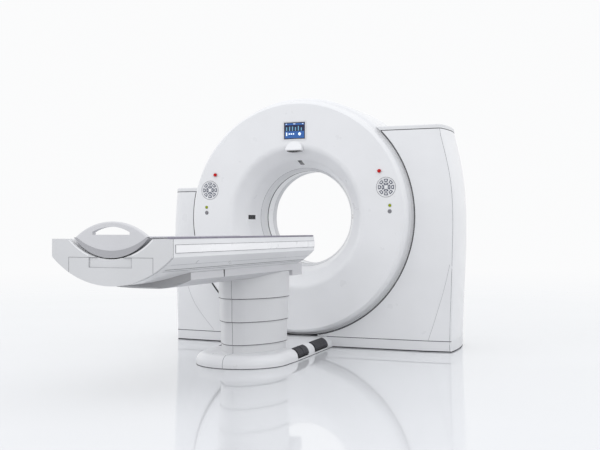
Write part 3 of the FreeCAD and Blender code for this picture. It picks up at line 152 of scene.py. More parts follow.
class Recipe(Tree):
    """The nodes of one material."""

    def __init__(self, name):
        self.material = bpy.data.materials.get(name) or bpy.data.materials.new(name)
        self.material.use_nodes = True
        super().__init__(self.material.node_tree)
        self.shader = self.node("ShaderNodeBsdfPrincipled")
        self.out = self.node("ShaderNodeOutputMaterial", {"Surface": self.shader.outputs["BSDF"]})
        self.place = self.node("ShaderNodeTexCoord").outputs["Object"]

    def give(self, **inputs):
        """Feeds the shader's inputs, named with _ for each space."""
        for key, value in inputs.items():
            self.feed(self.shader, key.replace("_", " "), value)

    def noise(self, scale, detail=2.0, where=None, rough=0.5):
        return self.node("ShaderNodeTexNoise", {"Vector": where or self.place, "Scale": scale,
                                                "Detail": detail, "Roughness": rough}).outputs["Fac"]

    def cloudy(self, factor, colour, low, high, start=0.35, end=0.65):
        """A colour that wavers between two shares of itself."""
        ramp = self.node("ShaderNodeValToRGB", {"Fac": factor})
        stops = ramp.color_ramp.elements
        stops[0].position, stops[1].position = start, end
        stops[0].color, stops[1].color = (*shade(colour, low), 1), (*shade(colour, high), 1)
        return ramp.outputs["Color"]

    def span(self, factor, low, high, start=0.3, end=0.7):
        return self.node("ShaderNodeMapRange", {"Value": factor, "From Min": start, "From Max": end,
                                                "To Min": low, "To Max": high}).outputs["Result"]

    def relief(self, height, strength, distance):
        bump = self.node("ShaderNodeBump", {"Height": height, "Strength": strength, "Distance": distance})
        self.give(Normal=bump.outputs["Normal"])


class Grower(Tree):
    """One Geometry Nodes tree with named inputs of the given kinds."""

    def __init__(self, name, **kinds):
        super().__init__(bpy.data.node_groups.new(name, "GeometryNodeTree"))
        face = self.tree.interface
        face.new_socket("Geometry", in_out="OUTPUT", socket_type="NodeSocketGeometry")
        self.ids = {key: face.new_socket(key, in_out="INPUT", socket_type="NodeSocket" + kind).identifier
                    for key, kind in kinds.items()}
        self.sizes = self.node("NodeGroupInput").outputs
        self.outlet = self.node("NodeGroupOutput")

    def finish(self, points, turn, **upright):
        """Sets the shape at each of the points, turns the whole upright and gives it its finish."""
        shape = self.node("GeometryNodeObjectInfo", {"Object": self.sizes["Shape"]}).outputs["Geometry"]
        links = {"Points": points, "Instance": shape, "Rotation": turn}
        placed = self.node("GeometryNodeInstanceOnPoints", links).outputs[0]
        moved = self.node("GeometryNodeTransform", {"Geometry": placed, **upright})
        whole = self.node("GeometryNodeRealizeInstances", {0: moved.outputs[0]}).outputs[0]
        coated = self.node("GeometryNodeSetMaterial", {"Geometry": whole, "Material": self.sizes["Finish"]})
        self.feed(self.outlet, 0, coated.outputs[0])
        return self

    def grow(self, name, **values):
        """Runs the tree on an empty mesh and returns the result as a plain object."""
        host = bpy.data.objects.new(name + "_host", bpy.data.meshes.new(name + "_host"))
        link(host)
        modifier = host.modifiers.new(name, "NODES")
        modifier.node_group = self.tree
        for key, value in values.items():
            modifier[self.ids[key]] = value
        bpy.context.view_layer.update()
        seen = host.evaluated_get(bpy.context.evaluated_depsgraph_get())
        mesh = bpy.data.meshes.new_from_object(seen)
        mesh.name = name
        bpy.data.objects.remove(host)
        return bpy.data.objects.new(name, mesh)


def row_tree(name):
    """Repeats a shape along a straight line between two points, all turned alike."""
    g = Grower(name, Shape="Object", Count="Int", Start="Vector", End="Vector", Turn="Vector",
               Finish="Material")
    ends = {"Count": g.sizes["Count"], "Start Location": g.sizes["Start"], "Offset": g.sizes["End"]}
    line = g.node("GeometryNodeMeshLine", ends, mode="END_POINTS", count_mode="TOTAL").outputs[0]
    return g.finish(line, g.sizes["Turn"])


def ring_tree(name):
    """Repeats a shape round a circle that faces the front."""
    g = Grower(name, Shape="Object", Count="Int", Radius="Float", Centre="Vector", Finish="Material")
    count = g.sizes["Count"]
    circle = g.node("GeometryNodeMeshCircle", {"Vertices": count, "Radius": g.sizes["Radius"]}).outputs[0]
    index = g.node("GeometryNodeInputIndex").outputs[0]
    share = g.node("ShaderNodeMath", {0: index, 1: count}, operation="DIVIDE").outputs[0]
    angle = g.node("ShaderNodeMath", {0: share, 1: 2 * pi}, operation="MULTIPLY").outputs[0]
    turn = g.node("ShaderNodeCombineXYZ", {2: angle}).outputs[0]
    return g.finish(circle, turn, Translation=g.sizes["Centre"], Rotation=(pi / 2, 0, 0))


# ---- finishes
def shade(colour, factor):
    """The same colour, darker or lighter."""
    return tuple(min(1.0, c * factor) for c in colour)


def moulded(name, colour, rough=0.32, coat=0.0, gloss=0.5):
    """Painted or gloss plastic: a faint cloudiness, uneven gloss and the orange peel of the paint."""
    r = Recipe(name)
    r.give(Base_Color=r.cloudy(r.noise(2.3, 3.0), colour, 0.975, 1.012),
           Roughness=r.span(r.noise(7.0, 4.0), rough - 0.05, rough + 0.07),
           Specular_IOR_Level=gloss, Coat_Weight=coat, Coat_Roughness=0.12)
    r.relief(r.noise(1400.0), 0.12, 0.00012)
    return r.material


def brushed(name, colour, stretch=(1, 1, 60)):
    """Machined metal with fine tool lines."""
    r = Recipe(name)
    drawn = r.node("ShaderNodeMapping", {"Vector": r.place, "Scale": stretch}).outputs[0]
    lines = r.noise(40.0, 4.0, drawn, 0.7)
    r.give(Base_Color=r.cloudy(lines, colour, 0.82, 1.08), Roughness=r.span(lines, 0.26, 0.46), Metallic=1.0)
    r.relief(lines, 0.2, 0.0002)
    return r.material


def enamel(name, colour, rough=0.5):
    """Plain machine enamel on castings and steelwork."""
    r = Recipe(name)
    r.give(Base_Color=r.cloudy(r.noise(9.0, 5.0), colour, 0.86, 1.1),
           Roughness=r.span(r.noise(30.0, 3.0), rough - 0.1, rough + 0.1))
    r.relief(r.noise(420.0, 3.0), 0.3, 0.0005)
    return r.material


def rubber(name, colour, rough=0.62):
    """Matt rubber with a dusty bloom."""
    r = Recipe(name)
    dust = r.noise(26.0, 6.0, rough=0.65)
    r.give(Base_Color=r.cloudy(dust, colour, 1.0, 1.7, 0.4, 0.8),
           Roughness=r.span(dust, rough - 0.06, rough + 0.18))
    r.relief(r.noise(1800.0), 0.25, 0.0002)
    return r.material


def vinyl(name, colour):
    """The wipe-clean cover of the mat: a fine leather-like grain."""
    r = Recipe(name)
    cells = r.node("ShaderNodeTexVoronoi", {"Vector": r.place, "Scale": 620.0}).outputs["Distance"]
    r.give(Base_Color=r.cloudy(r.noise(5.0, 4.0), colour, 0.93, 1.05),
           Roughness=r.span(cells, 0.48, 0.62, 0.0, 0.6))
    r.relief(cells, 0.25, 0.0004)
    return r.material


def lit(name, colour, strength):
    """A lit part of the display, with the pixel grain of its panel."""
    r = Recipe(name)
    grain = r.cloudy(r.noise(900.0, 0.0), colour, 0.9, 1.1)
    r.give(Base_Color=grain, Emission_Color=grain, Emission_Strength=strength, Roughness=0.15)
    return r.material


def tinted(name, colour):
    """Dark tinted window plastic."""
    r = Recipe(name)
    r.give(Base_Color=r.cloudy(r.noise(60.0), colour, 1.0, 1.5),
           Roughness=r.span(r.noise(120.0), 0.12, 0.18), Coat_Weight=0.6)
    return r.material


def make_finishes(colours):
    """One material for each of the record's finishes, and for the scene's own."""
    cover, grey = tuple(colours.cover), tuple(colours.grey)
    recipes = {
        moulded: {"cover_white": (cover, 0.32, 0.25), "cover_grey": (grey, 0.4),
            # the foot end's white is the cover paint at 0.83: painted shade for the table's foot end face
            "cap_white": (shade(cover, 0.93), 0.36, 0.1), "foot_white": (shade(cover, 0.83), 0.38),
            "collar_grey": ((0.68, 0.685, 0.70), 0.38), "tunnel_pale": ((0.86, 0.865, 0.875), 0.3),
            # the belly's grey is the carriage grey at half: painted shade for the belly under the table
            "kick_grey": (shade(cover, 0.97), 0.42), "nose_grey": (shade(grey, 0.50), 0.42),
            "bezel_grey": ((0.68, 0.685, 0.70), 0.4), "keypad_grey": ((0.76, 0.765, 0.78), 0.45),
            "stop_red": ((0.50, 0.006, 0.006), 0.22, 0.0, 0.25),
            "start_green": ((0.27, 0.33, 0.01), 0.22, 0.0, 0.25),
            "hold_grey": ((0.22, 0.22, 0.235), 0.25, 0.0, 0.3),
            # the column's white is the cover paint at 0.84: painted shade from the table above it
            "column_white": (shade(cover, 0.84), 0.36, 0.1), "strip_white": ((0.90, 0.90, 0.91), 0.28),
            # the cradle's grey of 0.40 is painted shade: its end lies in the shade under the handle and in
            # the bowl
            "cradle_white": ((0.40, 0.40, 0.42), 0.4), "handle_grey": ((0.62, 0.62, 0.64), 0.36),
            # the shoulder's grey is painted shade on the ring's curved shoulder; the crease grey is painted
            # shade along the covers' creases and also marks joints
            "shoulder_grey": ((0.60, 0.60, 0.615), 0.45), "crease_grey": ((0.42, 0.42, 0.44), 0.5),
            # the visor's white also draws the painted highlight on the bowl's rim
            "visor_white": ((0.81, 0.815, 0.83), 0.4), "key_grey": ((0.10, 0.11, 0.15), 0.4),
            "key_light": ((0.80, 0.805, 0.82), 0.4)},
        tinted: {"screen_blue": ((0.012, 0.016, 0.04),), "window_dark": ((0.018, 0.018, 0.02),)},
        enamel: {"frame_steel": ((0.12, 0.125, 0.13),), "cast_frame": ((0.45, 0.46, 0.47), 0.42),
            "lead_housing": ((0.10, 0.11, 0.13),), "unit_grey": ((0.34, 0.36, 0.38),),
            "stator_dark": ((0.05, 0.055, 0.06),)},
        brushed: {"machined_steel": ((0.62, 0.63, 0.64),), "bronze_bush": ((0.62, 0.42, 0.18),),
            "slip_copper": ((0.72, 0.36, 0.20), (60, 1, 60),)},
        rubber: {"guard_dark": ((0.19, 0.18, 0.22), 0.5), "pedal_rubber": ((0.020, 0.020, 0.024),),
            # the dark joint rubber also serves as painted shade: the floor lines and the gap behind the belly
            "tread_rubber": ((0.085, 0.085, 0.095), 0.55), "joint_dark": (tuple(colours.dark), 0.7),
            # the near-black gap grey is painted shade in the gap between the ring and the side covers
            "joint_soft": ((0.20, 0.20, 0.215), 0.6), "gap_grey": ((0.022, 0.022, 0.025), 0.6)},
        vinyl: {"mat_grey": ((0.55, 0.55, 0.59),)},
        lit: {"lit_blue": (tuple(colours.screen), 0.16), "lit_dark": ((0.004, 0.006, 0.035), 0.4),
            "lit_bar": ((0.10, 0.24, 0.34), 0.7), "lit_mark": ((0.62, 0.72, 0.86), 0.8)},
    }
    return {name: make(name, *values) for make, named in recipes.items() for name, values in named.items()}


FINISH = {}


# ---- points and faces
def angles(low, high, steps):
    """Evenly spaced angles in radians, from one to another in degrees."""
    return [radians(low + (high - low) * k / steps) for k in range(steps + 1)]


def hung(radius, angle, y, axis_z=TABLE_AXIS_Z):
    """A point at a radius below a lengthwise axis, at an angle from straight down."""
    return Vector((radius * sin(angle), y, axis_z - radius * cos(angle)))


def sheet(bm, rows):
    """Faces over a grid of corners."""
    for one, other in zip(rows, rows[1:]):
        for k in range(len(one) - 1):
            bm.faces.new((one[k], one[k + 1], other[k + 1], other[k]))


def skin(bm, rings, whole=False):
    """Faces over closed rings of points; the ends are capped, unless the rings run right round."""
    rows = [[bm.verts.new(point) for point in ring] for ring in rings]
    sheet(bm, [row + row[:1] for row in (rows + rows[:1] if whole else rows)])
    if not whole:
        bm.faces.new(rows[0])
        bm.faces.new(rows[-1][::-1])


def box(low, high):
    """The two rings of an axis-aligned box."""
    (x0, y0, z0), (x1, y1, z1) = low, high
    return [[(x0, y, z0), (x1, y, z0), (x1, y, z1), (x0, y, z1)] for y in (y0, y1)]


def rounds(centre, y, outline, steps=32):
    """Rings round an axis that faces the front, from an outline of (radius, how far it stands out)."""
    return [[(centre.x + r * cos(a), y - lift, centre.z + r * sin(a)) for a in angles(0, 360, steps)[:-1]]
            for r, lift in outline]


def cut_runs(node, at, normal, keep, slide=Vector()):
    """The lines where a plane cuts one node: runs of (point, outward normal), slid along by an offset."""
    bm = bmesh.new()
    bm.from_mesh(NODES[node].data)
    bmesh.ops.remove_doubles(bm, verts=bm.verts, dist=2e-6)
    found = bmesh.ops.bisect_plane(bm, geom=bm.verts[:] + bm.edges[:] + bm.faces[:], dist=1e-6,
                                   plane_co=at, plane_no=normal)["geom_cut"]
    outs, links = {}, {}
    for edge in (e for e in found if isinstance(e, bmesh.types.BMEdge)):
        out = sum((f.normal for f in edge.link_faces), Vector())
        out -= normal * out.dot(normal)
        middle = (edge.verts[0].co + edge.verts[1].co) / 2
        if out.length < 1e-6 or edge.calc_length() < 1e-7 or not keep(middle, out.normalized()):
            continue
        for one, other in (edge.verts, reversed(edge.verts)):
            links.setdefault(one, []).append(other)
            outs[one] = outs.get(one, Vector()) + out.normalized()
    runs = []
    while links:
        here = next((v for v in links if len(links[v]) == 1), next(iter(links)))
        chain = [here]
        while links.get(here):
            there = links[here].pop()
            links[there].remove(here)
            if not links[here]:
                del links[here]
            here = there
            chain.append(here)
        links.pop(here, None)
        run = []
        for v in chain:
            point = v.co + slide
            if not run or (point - run[-1][0]).length > 4e-4:
                run.append((point, outs[v].normalized()))
        if len(run) > 1:
            runs.append(run)
    bm.free()
    return runs


# ---- making pieces
def link(made):
    """Puts an object into the scene."""
    bpy.context.scene.collection.objects.link(made)


def plain_object(name, bm):
    """Turns a bmesh into an object that isn't linked yet, with its faces outwards."""
    bmesh.ops.recalc_face_normals(bm, faces=bm.faces)
    mesh = bpy.data.meshes.new(name)
    bm.to_mesh(mesh)
    bm.free()
    return bpy.data.objects.new(name, mesh)


def piece(name, bm, finish, body, **how):
    """Turns a bmesh into a finished piece that rides on a body."""
    return dress(plain_object(name, bm), finish, body, **how)


def dress(made, finish, body, smooth=True, replaces=(), slot=None):
    """Links a made object, gives it its finish and lets it ride."""
    link(made)
    if finish:
        made.data.materials.append(FINISH[finish])
    for face in made.data.polygons:
        face.use_smooth = smooth
    if smooth:
        made.data.set_sharp_from_angle(angle=radians(32))
    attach(made, body)
    if replaces:
        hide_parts(*replaces)
    if slot or finish in [m["slot"] for m in frame["record"]["materials"]]:
        slot or finish
    return made


def solid(name, shells, finish, body, whole=False, **how):
    """A piece made of one or more skins, each given as its rings."""
    bm = bmesh.new()
    for rings in shells:
        skin(bm, rings, whole)
    return piece(name, bm, finish, body, **how)


def turned(name, profile, finish, body, first=0, last=360, steps=180):
    """A band turned about the bore axis from a closed (radius, y) outline, between two angles up from +X."""
    whole = last - first >= 360
    turns = angles(first, last, steps)[:steps if whole else None]
    rings = [[(r * cos(a), y, ISO_Z + r * sin(a)) for r, y in profile] for a in turns]
    return solid(name, [rings], finish, body, whole)


def bead(name, runs, width, proud, finish, body, depth=0.003):
    """Thin joints: each run is a list of (point, outward normal) along the surface."""
    corners = ((-1, -depth), (-1, proud), (1, proud), (1, -depth))
    shells = []
    for run in runs:
        rings = []
        for i, (point, out) in enumerate(run):
            along = run[min(i + 1, len(run) - 1)][0] - run[max(i - 1, 0)][0]
            side = along.normalized().cross(out).normalized() * (width / 2)
            rings.append([point + side * s + out * h for s, h in corners])
        shells.append(rings)
    return solid(name, shells, finish, body, smooth=False)


def seam(name, node, axis, at, keep, shift, width, proud, finish, body, depth):
    """A bead along the line where a plane across one axis cuts a node, shifted a little along that axis."""
    normal = Vector([float(k == "xyz".index(axis)) for k in range(3)])
    runs = cut_runs(node, normal * at, normal, keep, normal * shift)
    bead(name, runs, width, proud, finish, body, depth)


def collar(name, centre, inner, outer, finish):
    """A thin ring that lies on the face cover round a control."""
    outline = ((inner, 0), (inner, 0.0015), (outer - 0.001, 0.0017), (outer, 0.0008), (outer, 0))
    solid(name, [rounds(centre, FACE_Y, outline, 48)], finish, "ring", True)


# ---- operators
class SCANNER_OT_finishes(bpy.types.Operator):
    """Gives every node of the frame its own procedural finish"""
    bl_idname = "scanner.finishes"
    bl_label = "Finishes"

    # nodes that get another finish than the rest of their slot; for the foot end and the belly it is a darker
    # copy of their paint, as painted shade
    other = {"top_caps": "cap_white", "foot_cap": "foot_white", "foot_panel": "foot_white",
             "belly_cover": "nose_grey", "sensor_shade": "visor_white"}

    def execute(self, context):
        FINISH.update(make_finishes(context.scene.scanner_colours))
        slots = {s["node"]: s["material_slot"] for s in frame["record"]["subparts"]}
        for name, made in NODES.items():
            for place in made.material_slots:
                place.material = FINISH[self.other.get(name, slots[name])]
        return {"FINISHED"}


class SCANNER_OT_display(bpy.types.Operator):
    """Draws the plain picture on the display: a dark band of level bars over a blue band of marks"""
    bl_idname = "scanner.display"
    bl_label = "Display"

    lens_half, lens_drop = 0.058, 0.0145  # half width and depth of the lens under the shade

    def execute(self, context):
        low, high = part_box("display_screen")
        w, h = high.x - low.x, high.z - low.z

        def at(u0, v0, u1, v1, lift=0.0006):
            """A tile from its share of the screen's width and height."""
            return box((low.x + u0 * w, low.y - 0.0004 - lift, low.z + v0 * h),
                       (low.x + u1 * w, low.y - 0.0001, low.z + v1 * h))
        bars = [at(0.10 + n * 0.14, 0.50, 0.15 + n * 0.14, 0.62 + 0.17 * abs(sin(n * 1.7 + 0.6)))
                for n in range(6)]
        marks = [at(0.10, 0.20, 0.15, 0.40)]
        marks += [at(u, 0.27, u + 0.06, 0.35) for u in (0.22, 0.32, 0.42)]
        marks += [at(u, 0.89, v, 0.92) for u, v in ((0.08, 0.14), (0.44, 0.54), (0.86, 0.92))]
        dot = Vector((low.x + 0.74 * w, 0, low.z + 0.30 * h))
        marks.append(rounds(dot, low.y - 0.0001, ((0.012, 0), (0.012, 0.0009))))
        for name, finish, shells in (("screen_ground", "lit_blue", [at(0.045, 0.06, 0.955, 0.94, 0)]),
                                     ("screen_band", "lit_dark", [at(0.05, 0.47, 0.95, 0.84, 0.0003)]),
                                     ("screen_bars", "lit_bar", bars), ("screen_marks", "lit_mark", marks)):
            solid(name, shells, finish, "ring", smooth=False, slot="screen_blue")
        self.lens()
        return {"FINISHED"}

    def lens(self):
        """The dark half-round lens under the shade."""
        low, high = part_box("sensor_shade")
        rings = [[(self.lens_half * cos(a), y, low.z + 0.0003 + self.lens_drop * sin(a))
                  for a in angles(180, 360, 24)] for y in (low.y + 0.0015, FACE_Y + 0.006)]
        solid("shade_lens", [rings], "window_dark", "ring")


class SCANNER_OT_keypads(bpy.types.Operator):
    """Builds the two round keypads: an outer ring of keys, a flower of inner keys, a hub, and a grey rim that
    paints the shade of the keypad's shallow dish
    """
    bl_idname = "scanner.keypads"
    bl_label = "Keypads"

    radius = 0.0797  # of the whole keypad
    hub, hub_rise, hub_sides = 0.0125, 0.0036, 32  # radius of the hub, how far it stands out, its flat sides
    soft = 0.001  # the hub's soft edge
    taper = 0.93  # share of a key's foot that its top has

    def key(self, name, inner, outer, half_deg, height):
        """One key: a sector with soft corners, drawn round the X axis and seen from +Z."""
        bm = bmesh.new()
        middle = (inner + outer) / 2
        sheet(bm, [[bm.verts.new((r * cos(a), r * sin(a), 0)) for a in angles(-half_deg, half_deg, 6)]
                   for r in (inner, middle, outer)])
        top = bmesh.ops.extrude_face_region(bm, geom=list(bm.faces))
        raised = [v for v in top["geom"] if isinstance(v, bmesh.types.BMVert)]
        bmesh.ops.translate(bm, vec=(0, 0, height), verts=raised)
        for v in raised:
            v.co.x = middle + (v.co.x - middle) * self.taper
            v.co.y *= self.taper
        bmesh.ops.translate(bm, vec=(-middle, 0, 0), verts=bm.verts)
        return plain_object(name, bm), middle

    def execute(self, context):
        count = context.scene.scanner_sizes.key_count
        tree = ring_tree("Ring of keys")
        # inner and outer radius, half angle, how far the key stands up, count, finish
        kinds = {"outer": (0.0420, 0.0645, 15.5, 0.0031, count, "key_grey"),
                 "outer_face": (0.0485, 0.0582, 8.5, 0.0035, count, "key_light"),
                 "inner": (0.0170, 0.0350, 36.0, 0.0026, 4, "key_grey"),
                 "inner_face": (0.0235, 0.0290, 15.0, 0.0030, 4, "key_light")}
        low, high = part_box("keypads")
        for side, word in ((-1, "left"), (1, "right")):
            centre = Vector((side * (high.x - self.radius), low.y + 0.003, (low.z + high.z) / 2))
            for kind, (inner, outer, half, height, number, finish) in kinds.items():
                shape, radius = self.key(kind + "_key", inner, outer, half, height)
                keys = tree.grow(f"keypad_{kind}_keys_{word}", Shape=shape, Count=number, Radius=radius,
                                 Centre=centre, Finish=FINISH[finish])
                dress(keys, None, "ring", slot="keypad_grey")
            inset = self.soft / cos(pi / self.hub_sides)  # the soft edge where two flat sides meet
            outline = [(self.hub, 0)]
            outline += [(self.hub - inset * (1 - cos(a)), self.hub_rise - self.soft * (1 - sin(a)))
                        for a in angles(0, 90, 3)]
            solid(f"keypad_hub_{word}", [rounds(centre, centre.y, outline, self.hub_sides)], "key_light",
                  "ring", slot="keypad_grey")
            # a grey ring of painted shade at the edge of the keypad's dish
            collar(f"keypad_rim_{word}", centre, self.radius - 0.0035, self.radius, "hold_grey")
        return {"FINISHED"}


class SCANNER_OT_button_rings(bpy.types.Operator):
    """Lays a thin collar round each push button and emergency stop"""
    bl_idname = "scanner.button_rings"
    bl_label = "Button collars"

    def execute(self, context):
        kinds = (("emergency_stop", "stop", "bezel_grey"), ("green_button", "green", "bezel_grey"),
                 ("grey_button", "grey", "hold_grey"))
        for node, word, finish in kinds:
            for side in ("left", "right"):
                low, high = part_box(f"{node}_{side}")
                reach = (high.x - low.x) / 2
                collar(f"{word}_{side}_collar", (low + high) / 2, reach + 0.0008, reach + 0.0045, finish)
        return {"FINISHED"}


class SCANNER_OT_gantry_joints(bpy.types.Operator):
    """Fills the joints between the gantry's covers, paints shadow in the gap under the kick panels, and
    paints shade on the shoulder of the ring and in the gap beside it
    """
    bl_idname = "scanner.gantry_joints"
    bl_label = "Gantry joints"

    stand = Vector((0.7, 0.15, 0))  # middle of the right-hand stand
    corner_inset = 0.014  # from a cover's furthest point to the joint at its corner
    kick_z = (0.0095, 0.0828)  # just inside the foot and head of a kick panel
    # (x, z) places of the crease that sweeps over each cover
    creases = {"right": ((1.0787, 0.0866), (1.1176, 0.2022), (1.1564, 0.3274), (1.1926, 0.4444),
                         (1.2232, 0.5608), (1.2500, 0.6800)),
               "left": ((-1.0351, 0.4611), (-1.0028, 0.3783), (-0.9678, 0.3123), (-0.9135, 0.2393),
                        (-0.8517, 0.1688), (-0.7866, 0.0996))}
    # the shoulder of the ring, painted grey as shade: where it starts as (radius, y), how far it rises and
    # its two ends
    shoulder = ((0.9526, -0.2995), (0.0215, 0.031), (-194.5, 44.5))
    # the dark lips beside the ring, painted shade in the gap round it: where they lie, then first and last
    # angle and width of each
    lip_r, lip_y = 0.9706, -0.3021
    lips = {"right": (-80.0, 44.0, 0.006), "left": (167.2, 259.5, 0.0145)}

    def execute(self, context):
        width = context.scene.scanner_sizes.seam_width
        for word, side in (("right", 1), ("left", -1)):
            low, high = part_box(word + "_cover")
            stand = self.stand * Vector((side, 1, 1))

            def outside(point, out):
                """The outer skin: it faces away from the stand, and the cut round the ring is left out."""
                flat = Vector((point.x, point.y, 0)) - stand
                reach = (point - Vector((0, 0, ISO_Z))).length
                return out.dot(flat) > 0.02 and reach > SWEEP_R and (out.y < -0.2 or side * out.x > 0.2)

            def kick(point, out):
                return outside(point, out) and (side < 0 or out.y < -0.6)

            def foot(point, out):
                return outside(point, out) and point.x * side > 0.01
            for name, node, at, keep, shift, wide, proud, depth in (
                    ("cap", word + "_cover", high.z - 0.0006, outside, 0.00075, width * 1.4, 0.0005, 0.004),
                    ("kick", word + "_cover", low.z + 0.0008, kick, -0.001, width * 1.2, 0.0005, 0.004),
                    # the floor bead is painted shadow: a dark strip in the gap between the kick panels and
                    # the floor
                    ("floor", "kick_panels", self.kick_z[0], foot, -0.004, 0.009, -0.002, 0.006)):
                seam(f"{name}_joint_{word}", node, "z", at, keep, shift, wide, proud, "joint_dark", "gantry",
                     depth)
        self.skin_lines(width * 0.7)
        self.ring_shoulder()
        return {"FINISHED"}

    def front_cut(self, node, z):
        """The runs of a cover's front skin at one height."""
        up = Vector((0, 0, 1))
        return cut_runs(node, up * z, up, lambda p, out: out.y < -0.05 and abs(p.x) > 0.7)

    def skin_line(self, node, places):
        """A run up a cover's front skin through a list of (x, z) places."""
        run = []
        for x, z in places:
            spots = []
            for part in self.front_cut(node, z):
                for (p, n), (q, m) in zip(part, part[1:]):
                    if (p.x - x) * (q.x - x) <= 0 and p.x != q.x:
                        t = (x - p.x) / (q.x - p.x)
                        spots.append((p.lerp(q, t), n.lerp(m, t).normalized()))
            if spots:
                run.append(min(spots, key=lambda spot: spot[0].y))
        return run

    def corner_line(self, node, low, high, steps):
        """A run up the right-hand front corner of a cover, a little in from its furthest point."""
        heights = [low + (high - low) * k / steps for k in range(steps + 1)]
        cuts = [[spot for part in self.front_cut(node, z) for spot in part] for z in heights]
        reach = [max(p.x for p, n in cut if n.y < -0.35) for cut in cuts]
        reach[0] = reach[1]
        for _ in range(2):
            padded = reach[:1] + reach + reach[-1:]
            reach = [(a + 2 * b + c) / 4 for a, b, c in zip(padded, padded[1:], padded[2:])]
        return self.skin_line(node, [(r - self.corner_inset, z) for r, z in zip(reach, heights)])

    def skin_lines(self, width):
        """The upright joint at the right cover's front corner, and painted shade along the creases over both
        covers.
        """
        low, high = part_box("right_cover")
        lines = [self.corner_line("right_cover", low.z + 0.0005, high.z - 0.0005, 30),
                 self.corner_line("kick_panels", *self.kick_z, 2)]
        bead("corner_joint_right", lines, width, 0.0003, "joint_soft", "gantry", 0.002)
        for word, places in self.creases.items():
            run = self.skin_line(word + "_cover", places)
            # a grey line of painted shade along the crease
            bead("crease_" + word, [run], width, 0.0003, "crease_grey", "gantry", 0.002)

    def ring_shoulder(self):
        """Painted shade: the grey shoulder of the ring, its dark gap, and the dark lips of the side covers in
        the gap.
        """
        (radius, start), (rise, depth), ends = self.shoulder
        outer, inner = [], []
        for k in range(9):
            turn = k / 8 * pi / 2
            r = radius + rise * sin(turn) ** 0.9
            y = start + depth * (1 - cos(turn)) ** 0.9
            outer.append((r + 0.0004, y - 0.0006))
            inner.append((r - 0.004, y + 0.003))
        turned("ring_band", outer + inner[::-1], "shoulder_grey", "ring", *ends, 240)
        line = [(r + 0.0003, y - 0.0003) for r, y in outer[3:]]
        r, y = self.lip_r, self.lip_y
        for word, (first, last, wide) in self.lips.items():
            lip = [(r, y), (r + wide, y), (r + wide, y + 0.0021), (r + 0.0003, y + 0.0021)]
            turned("ring_lip_" + word, lip, "gap_grey", "gantry", first, last, 120)
        line += [(r - 0.002, y + 0.0015) for r, y in line[::-1]]
        turned("ring_gap", line, "gap_grey", "ring", *ends, 240)


class SCANNER_OT_bore_joints(bpy.types.Operator):
    """Marks the joints inside the bore: funnel to collar and collar to tunnel, front and rear"""
    bl_idname = "scanner.bore_joints"
    bl_label = "Bore joints"

    mouth = 0.409  # radius where funnel and collar meet
    wall = 0.0025  # of the tunnel

    def execute(self, context):
        rim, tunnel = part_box("bore_collars")[1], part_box("bore_tunnel")[1]
        inner, outer, mouth = tunnel.x - self.wall - 0.0004, tunnel.x - self.wall + 0.0015, self.mouth
        for word, side, half, finish in (("front", -1, 0.008, "joint_dark"),
                                         ("rear", 1, 0.002, "crease_grey")):
            y = side * (tunnel.y + 0.00015)
            turned("tunnel_joint_" + word, [(inner, y - half), (outer, y - half), (outer, y + half),
                                            (inner, y + half)], finish, "ring")
            y, half = side * (rim.y + 0.00015), side * 0.0011
            turned("collar_joint_" + word, [(mouth - 0.0012, y - half), (mouth + 0.002, y - half),
                                            (mouth + 0.002, y + half), (mouth, y + half)],
                   "joint_soft", "ring")
        return {"FINISHED"}


class SCANNER_OT_column(bpy.types.Operator):
    """Gives the column its wiper lips and the joint down its prow, and the base a painted shadow line where
    it stands on the floor
    """
    bl_idname = "scanner.column"
    bl_label = "Column and base"

    middle = Vector((0, -1.25, 0))  # axis of the column
    # body of each cover and the height where the next one hides it; the top one ends at the carriage
    covers = {"top": ("tabletop", None), "middle": ("column_middle", 0.4695),
              "lower": ("column_lower", 0.3085), "fixed": ("gantry", 0.158)}

    def outside(self, point, out):
        return out.dot(Vector((point.x, point.y, 0)) - self.middle) > 0

    def on_floor(self, point, out):
        """The base's outer edge, without the end that meets the gantry."""
        return self.outside(point, out) and point.y < -0.31

    def on_prow(self, point, out):
        """The base's rounded nose, seen from the front and above."""
        return point.y < -1.5 and out.z * 0.6 > out.y

    def execute(self, context):
        fine = context.scene.scanner_sizes.fine_seam_width * 1.3
        for word, (body, top) in self.covers.items():
            node = "column_cover_" + word
            low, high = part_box(node)
            if word != "fixed":
                seam("wiper_" + word, node, "z", low.z + 0.001, self.outside, 0.0012, 0.0038, 0.0003,
                     "joint_dark", body, 0.0035)
            ends = (max(low.z + 0.0005, 0.085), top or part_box("carriage_cover")[0].z)
            prow = low.y + (0.0037 if word != "top" else 0)
            line = [(Vector((0, prow, z)), FRONT) for z in ends]
            bead("prow_" + word, [line], fine, 0.0003, "joint_soft", body)
        # painted shadow: a dark line round the base where it meets the floor
        seam("base_floor_line", "table_base_cover", "z", 0.003, self.on_floor, -0.0012, 0.003, 0.0004,
             "joint_dark", "gantry", 0.002)
        seam("base_prow", "table_base_cover", "x", 0.001, self.on_prow, -0.001, fine, 0.0003,
             "joint_soft", "gantry", 0.002)
        return {"FINISHED"}


